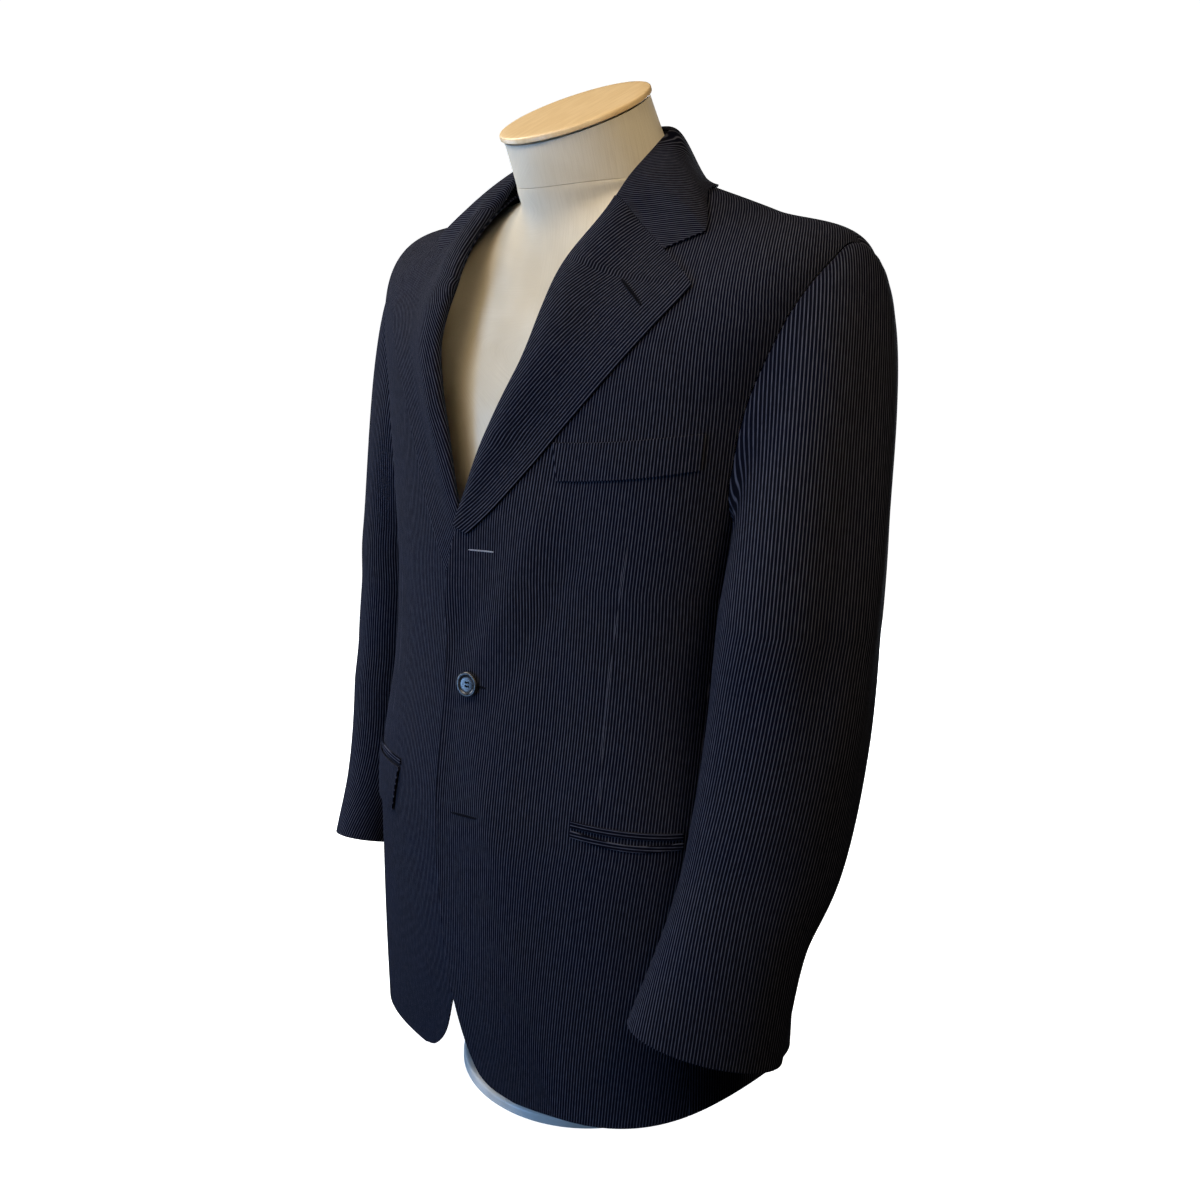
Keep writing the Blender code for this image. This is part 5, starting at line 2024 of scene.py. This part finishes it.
@dataclass
class Buttonhole:
    """A worked buttonhole: a dark slit between two purled edges."""

    name: str
    start: Pair  # angle and level of each end
    end: Pair
    finish: Finish = Finishes.twist
    bead: float = 0.0004  # radius of the purled edge
    gap: float = 0.0007  # from the slit to the middle of each edge
    out: Pair = (0.0, 0.0)  # how far its two ends stand off the front
    purl_out: float = 0.0002
    slit_out: float = 0.00012
    slit_share: float = 0.8  # of the gap that the slit fills

    def surface(self, block: Block, share: Grid, side_step: Grid, out: float) -> Grid:
        """Points along the slit, moved sideways in the cloth.

        Args:
            block: the block that it is cut in.
            share: each point's share of the way along.
            side_step: how far each is moved sideways.
            out: how far they stand off the cloth.

        Returns:
            The points.
        """
        start, end = np.array(self.start), np.array(self.end)
        spots = start + (end - start) * share[:, None]
        raised = out + self.out[0] + (self.out[1] - self.out[0]) * share
        raised = raised + OVERLAP.out(spots[:, 0], spots[:, 1])
        points = block.face(spots[:, 0], spots[:, 1], raised)
        run = unit(block.bare(*end) - block.bare(*start))
        beside = unit(np.cross(block.outward(spots[:, 0], spots[:, 1]), run))
        return points + beside * side_step[:, None]

    def build(self, block: Block) -> None:
        """Make the purled loop and the slit in it.

        Args:
            block: the block that it is cut in.
        """
        turns = np.linspace(0, 2 * math.pi, 44, endpoint=False)
        share = 0.5 - 0.5 * np.sign(np.cos(turns)) * np.abs(np.cos(turns)) ** 0.5
        loop = self.surface(block, share, self.gap * np.sin(turns), self.purl_out)
        make_piece(f"{self.name}_purl", *tube(loop, self.bead, 8, closed=True), self.finish,
                   slot="suiting")
        # The slit is a dark sheet of painted shade, standing for the shade inside the cut.
        share = np.linspace(0.02, 0.98, 12)
        width = self.gap * self.slit_share * np.sin(np.pi * share) ** 0.3
        slit = np.stack([self.surface(block, share, width * step, self.slit_out)
                         for step in (-1.0, 1.0)], axis=1)
        make_piece(f"{self.name}_slit", slit, grid_faces(len(share), 2), Finishes.slit)


@dataclass
class Fastenings:
    """Every button and buttonhole of the jacket."""

    block: Block
    sleeves: SleevePair
    front_size: float = 0.0205
    cuff_size: float = 0.0138
    lean: float = 10.0  # of the fastened button, in degrees
    shank: float = 0.0016  # of its thread
    front_turn: float = 4.0  # of the holes of a front button
    cuff_turn: float = 9.0  # from each cuff button to the next
    holes: tuple[Buttonhole, ...] = (
        Buttonhole("buttonhole_top", (-1.7, 5.645), (4.6, 5.668), Finishes.tack, 0.00026, 0.0003),
        Buttonhole("buttonhole_middle", (-2.2, 4.15), (4.4, 4.15)),
        Buttonhole("buttonhole_bottom", (-2.5, 2.965), (4.8, 3.01)),
        Buttonhole("buttonhole_lapel", (35.0, 8.74), (35.0, 8.35), Finishes.twist, 0.0005, 0.0009,
                   (0.0037, 0.0027)),
    )

    def front_buttons(self) -> None:
        """Three buttons on the right front's centre line."""
        button = Button(self.front_size)
        mesh = button.drilled()
        for name, level in BUTTON_LEVELS.items():
            out, lean = SEAM_GAP, Matrix()
            if name == "middle":
                out += float(OVERLAP.out(0.0, level)) + self.shank
                lean = Matrix.Rotation(math.radians(self.lean), 4, "Z")
            point = self.block.face(0.0, level, out)
            normal = lean @ Vector(self.block.outward(0.0, level))
            button.sew(mesh, f"front_button_{name}",
                       seat_matrix(Vector(point), normal, self.front_turn))

    def cuff_buttons(self) -> None:
        """The buttons up the hind seam of each cuff."""
        button = Button(self.cuff_size, segments=48)
        mesh = button.drilled()
        for side in Side:
            for number, (point, normal) in enumerate(self.sleeves.button_seats(side), 1):
                button.sew(mesh, f"cuff_button_{side.word}_{number}",
                           seat_matrix(point, normal, self.cuff_turn * number))

    def build(self) -> None:
        """Sew them all on: three buttonholes are in the left front, and one in its lapel."""
        self.front_buttons()
        self.cuff_buttons()
        for hole in self.holes:
            hole.build(self.block)
        LOG.info("buttons and buttonholes sewn")


# ---------------- the form
@dataclass
class TailorsForm:
    """A linen-covered form: torso, neck, tilted cap, pole and foot."""

    body: Block = Block(FORM_RINGS)
    segments: int = 128
    levels: int = 150
    neck_levels: int = 40
    neck_top: Triple = (0.0, -0.0480, 0.8418)
    neck_radius: float = 0.0600
    cap_tilt: float = 28.0  # forwards, in degrees
    cap_rim: float = 0.0022  # how far the cap stands out past the neck
    cap: float = 0.006  # its thickness
    pole: float = 0.014  # radius of the pole
    pole_top: float = 0.0996
    base: float = 0.115  # radius of the foot
    foot: float = 0.010  # its height
    cover_crease: float = 50.0  # degrees between faces at a crisp edge of the linen
    turned_crease: float = 42.0  # and of a turned piece

    def ring_stack(self, name: str, rings: Grid) -> None:
        """A closed solid in linen through a stack of rings.

        Args:
            name: the part of the form that it covers.
            rings: the points of each ring, from the lowest up.
        """
        rows, columns = rings.shape[0], rings.shape[1] + 1
        closed = np.concatenate([rings, rings[:, :1]], axis=1)
        flat = np.stack(np.broadcast_arrays(girths(closed), runs(closed[:, 0])[:, None]), -1)
        number = np.arange(rows * columns).reshape(rows, columns)
        faces = grid_faces(rows, columns)
        faces += [number[0, :-1].tolist()[::-1], number[-1, :-1].tolist()]
        item = make_piece(f"{name}_cover", closed, faces, Finishes.linen, flat, "linen")
        item.data.set_sharp_from_angle(angle=math.radians(self.cover_crease))
        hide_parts(f"form_{name}")
        LOG.info("%s_cover: %d faces", name, len(faces))

    def turned(self, name: str, slot: str, place: Matrix, *profile: Pair) -> None:
        """A turned piece of the form that stands for the node of the same name.

        Args:
            name: its node.
            slot: the material slot it takes its finish from.
            place: where it stands.
            profile: rows of radius and height.
        """
        points, faces = lathe(profile, self.segments)
        item = make_piece(f"{name}_turned", points, faces, getattr(Finishes, slot), slot=slot)
        item.data.transform(place)
        item.data.set_sharp_from_angle(angle=math.radians(self.turned_crease))
        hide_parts(name)
        LOG.info("%s_turned: %d faces", name, len(faces))

    def build(self) -> None:
        """Make every piece of the form."""
        angles = np.linspace(0, 360, self.segments, endpoint=False)
        levels = np.linspace(0, self.body.top, self.levels)
        torso = self.body.bare(((angles + 180) % 360 - 180)[None], levels[:, None])
        self.ring_stack("torso", torso)
        seat = Matrix.Translation(Vector(self.neck_top)) @ Matrix.Rotation(
            math.radians(self.cap_tilt), 4, "X")
        radius = self.neck_radius
        top = np.array([
            seat @ Vector((radius * math.cos(turn), radius * math.sin(turn), 0.0))
            for turn in np.radians(angles) - math.pi / 2
        ])
        lowest = torso[-1] + np.array([0, 0, SEAM_GAP])
        share = np.linspace(0, 1, self.neck_levels)[:, None, None]
        self.ring_stack("neck", lowest[None] * (1 - share) + top[None] * share)
        edge = radius + self.cap_rim
        self.turned(
            "form_cap", "cap", seat,
            (edge - 0.0062, SEAM_GAP), (edge - 0.0060, 0.0013), (edge - 0.0008, 0.0015),
            (edge, 0.0021), (edge, self.cap - 0.0012), (edge - 0.0005, self.cap - 0.0004),
            (edge - 0.0016, self.cap), (edge - 0.0090, self.cap), (edge - 0.0300, self.cap),
        )
        self.turned("stand_pole", "enamel", Matrix(),
                    (self.pole, self.foot + SEAM_GAP), (self.pole, self.pole_top))
        self.turned(
            "stand_base", "enamel", Matrix(),
            (self.base - 0.0010, 0.0), (self.base, 0.0010), (self.base, 0.0070),
            (self.base - 0.0008, 0.0088), (self.base - 0.0030, self.foot),
            (self.base - 0.0300, self.foot),
        )


# ---------------- the studio
@dataclass(frozen=True)
class Lamp:
    """A square lamp: where it stands, its power and colour, its size and what it faces."""

    name: str
    place: Triple
    power: float
    colour: str
    size: float = 0.6
    target: Triple = (0.0, 0.0, 0.5)

    def hang(self) -> None:
        """Hang it in the studio."""
        light = bpy.data.lights.new(self.name, "AREA")
        light.shape, light.size, light.energy = "SQUARE", self.size, self.power
        light.color = linear(self.colour)[:3]
        item = add_object(self.name, light)
        item.location = self.place
        aim = Vector(self.target) - Vector(self.place)
        item.rotation_euler = aim.to_track_quat("-Z", "Y").to_euler()


@dataclass
class Studio:
    """A pale floor, soft lights and the camera."""

    camera_place: Triple = (0.693, -0.746, 0.669)
    yaw: float = 42.9  # degrees from facing +Y, towards -X
    pitch: float = 12.3  # degrees down
    roll: float = 2.1
    focal_px: float = 1177.0
    frame_px: float = 1200.0
    sensor: float = 36.0
    nearest: float = 0.05  # what the camera sees starts here
    sweep_radius: float = 12.0
    sweep_cove: float = 3.0  # radius of the bend between its floor and its wall
    sweep_height: float = 14.0
    sweep_hole: float = 0.02  # radius of the hole in the middle of its floor
    air: float = 0.02  # radiance of the dim room outside the sweep
    lamps: tuple[Lamp, ...] = (
        Lamp("low_window", (-0.43, -1.62, 0.155), 14.5, "#95C4FF"),
        Lamp("high_window", (-1.16, -0.31, 1.65), 15.0, "#FFF6E7"),
        Lamp("front_panel", (-0.31, -1.16, 1.65), 10.0, "#FFFEFC"),
        Lamp("near_panel", (0.31, -1.16, 1.65), 5.2, "#FFE7BF"),
        Lamp("far_window", (-1.59, -0.43, 0.6), 10.0, "#D6E5FF"),
        Lamp("back_panel", (-0.68, 1.88, 0.75), 34.0, "#EBF2FF", 1.0),
        Lamp("neck_lamp", (0.9, -0.5, 1.3), 5.7, "#FFE7BF", 0.3, (0.0, -0.04, 0.84)),
    )

    def build(self) -> None:
        """Set the studio up."""
        self.add_camera()
        self.add_sweep()
        for lamp in self.lamps:
            lamp.hang()
        self.add_air()
        bpy.context.scene.view_settings.view_transform = "Standard"
        LOG.info("studio ready")

    def add_air(self) -> None:
        """A dim even room outside the sweep."""
        world = bpy.data.worlds.new("studio_air")
        world.use_nodes = True
        background = world.node_tree.nodes["Background"]
        background.inputs["Color"].default_value = linear("#FFFFFF")
        background.inputs["Strength"].default_value = self.air
        bpy.context.scene.world = world

    def add_camera(self) -> None:
        """Stand the camera up and look through it."""
        yaw, pitch, roll = (math.radians(turn) for turn in (self.yaw, self.pitch, self.roll))
        ahead = Vector((-math.sin(yaw) * math.cos(pitch), math.cos(yaw) * math.cos(pitch),
                        -math.sin(pitch)))
        level = Vector((math.cos(yaw), math.sin(yaw), 0.0))
        upward = level.cross(ahead)
        right = level * math.cos(roll) + upward * math.sin(roll)
        upward = upward * math.cos(roll) - level * math.sin(roll)
        camera = bpy.data.cameras.new("camera")
        camera.sensor_width = self.sensor
        camera.lens = self.focal_px / self.frame_px * self.sensor
        camera.clip_start = self.nearest
        item = add_object("camera", camera)
        frame = Matrix((right, upward, -ahead)).transposed().to_4x4()
        item.matrix_world = Matrix.Translation(Vector(self.camera_place)) @ frame
        bpy.context.scene.camera = item

    def add_sweep(self) -> None:
        """A pale floor that bends up into a wall all round, unseen by the lamps' light."""
        bend = np.linspace(0.0, math.pi / 2, 13)
        flat = self.sweep_radius - self.sweep_cove
        reach = np.concatenate([[self.sweep_hole], flat + self.sweep_cove * np.sin(bend),
                                [self.sweep_radius]])
        height = np.concatenate([[0.0], self.sweep_cove * (1 - np.cos(bend)),
                                 [self.sweep_height]])
        turns = np.linspace(0, 2 * math.pi, 73)
        points = np.empty((len(reach), len(turns), 3))
        points[..., :2] = reach[:, None, None] * np.stack([np.cos(turns), np.sin(turns)], -1)
        points[..., 2] = height[:, None]
        mesh = new_mesh("studio_sweep", points.reshape(-1, 3), grid_faces(len(reach), len(turns)))
        mesh.materials.append(Finishes.sweep.material)
        sweep = add_object("studio_sweep", mesh)
        sweep.visible_diffuse = sweep.visible_glossy = sweep.visible_shadow = False


def main() -> None:
    """Dress the solids."""
    logging.basicConfig(level=logging.INFO, format="%(message)s")
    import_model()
    Studio().build()
    panels = BodyPanels(JACKET)
    sleeves = SleevePair(panels)
    for maker in (panels, Revers(JACKET), sleeves, Pockets(JACKET)):
        for piece in maker.pieces():
            piece.build()
    for side in Side:
        panels.sew_dart(side)
    Fastenings(JACKET, sleeves).build()
    TailorsForm().build()


if __name__ == "__main__":
    main()
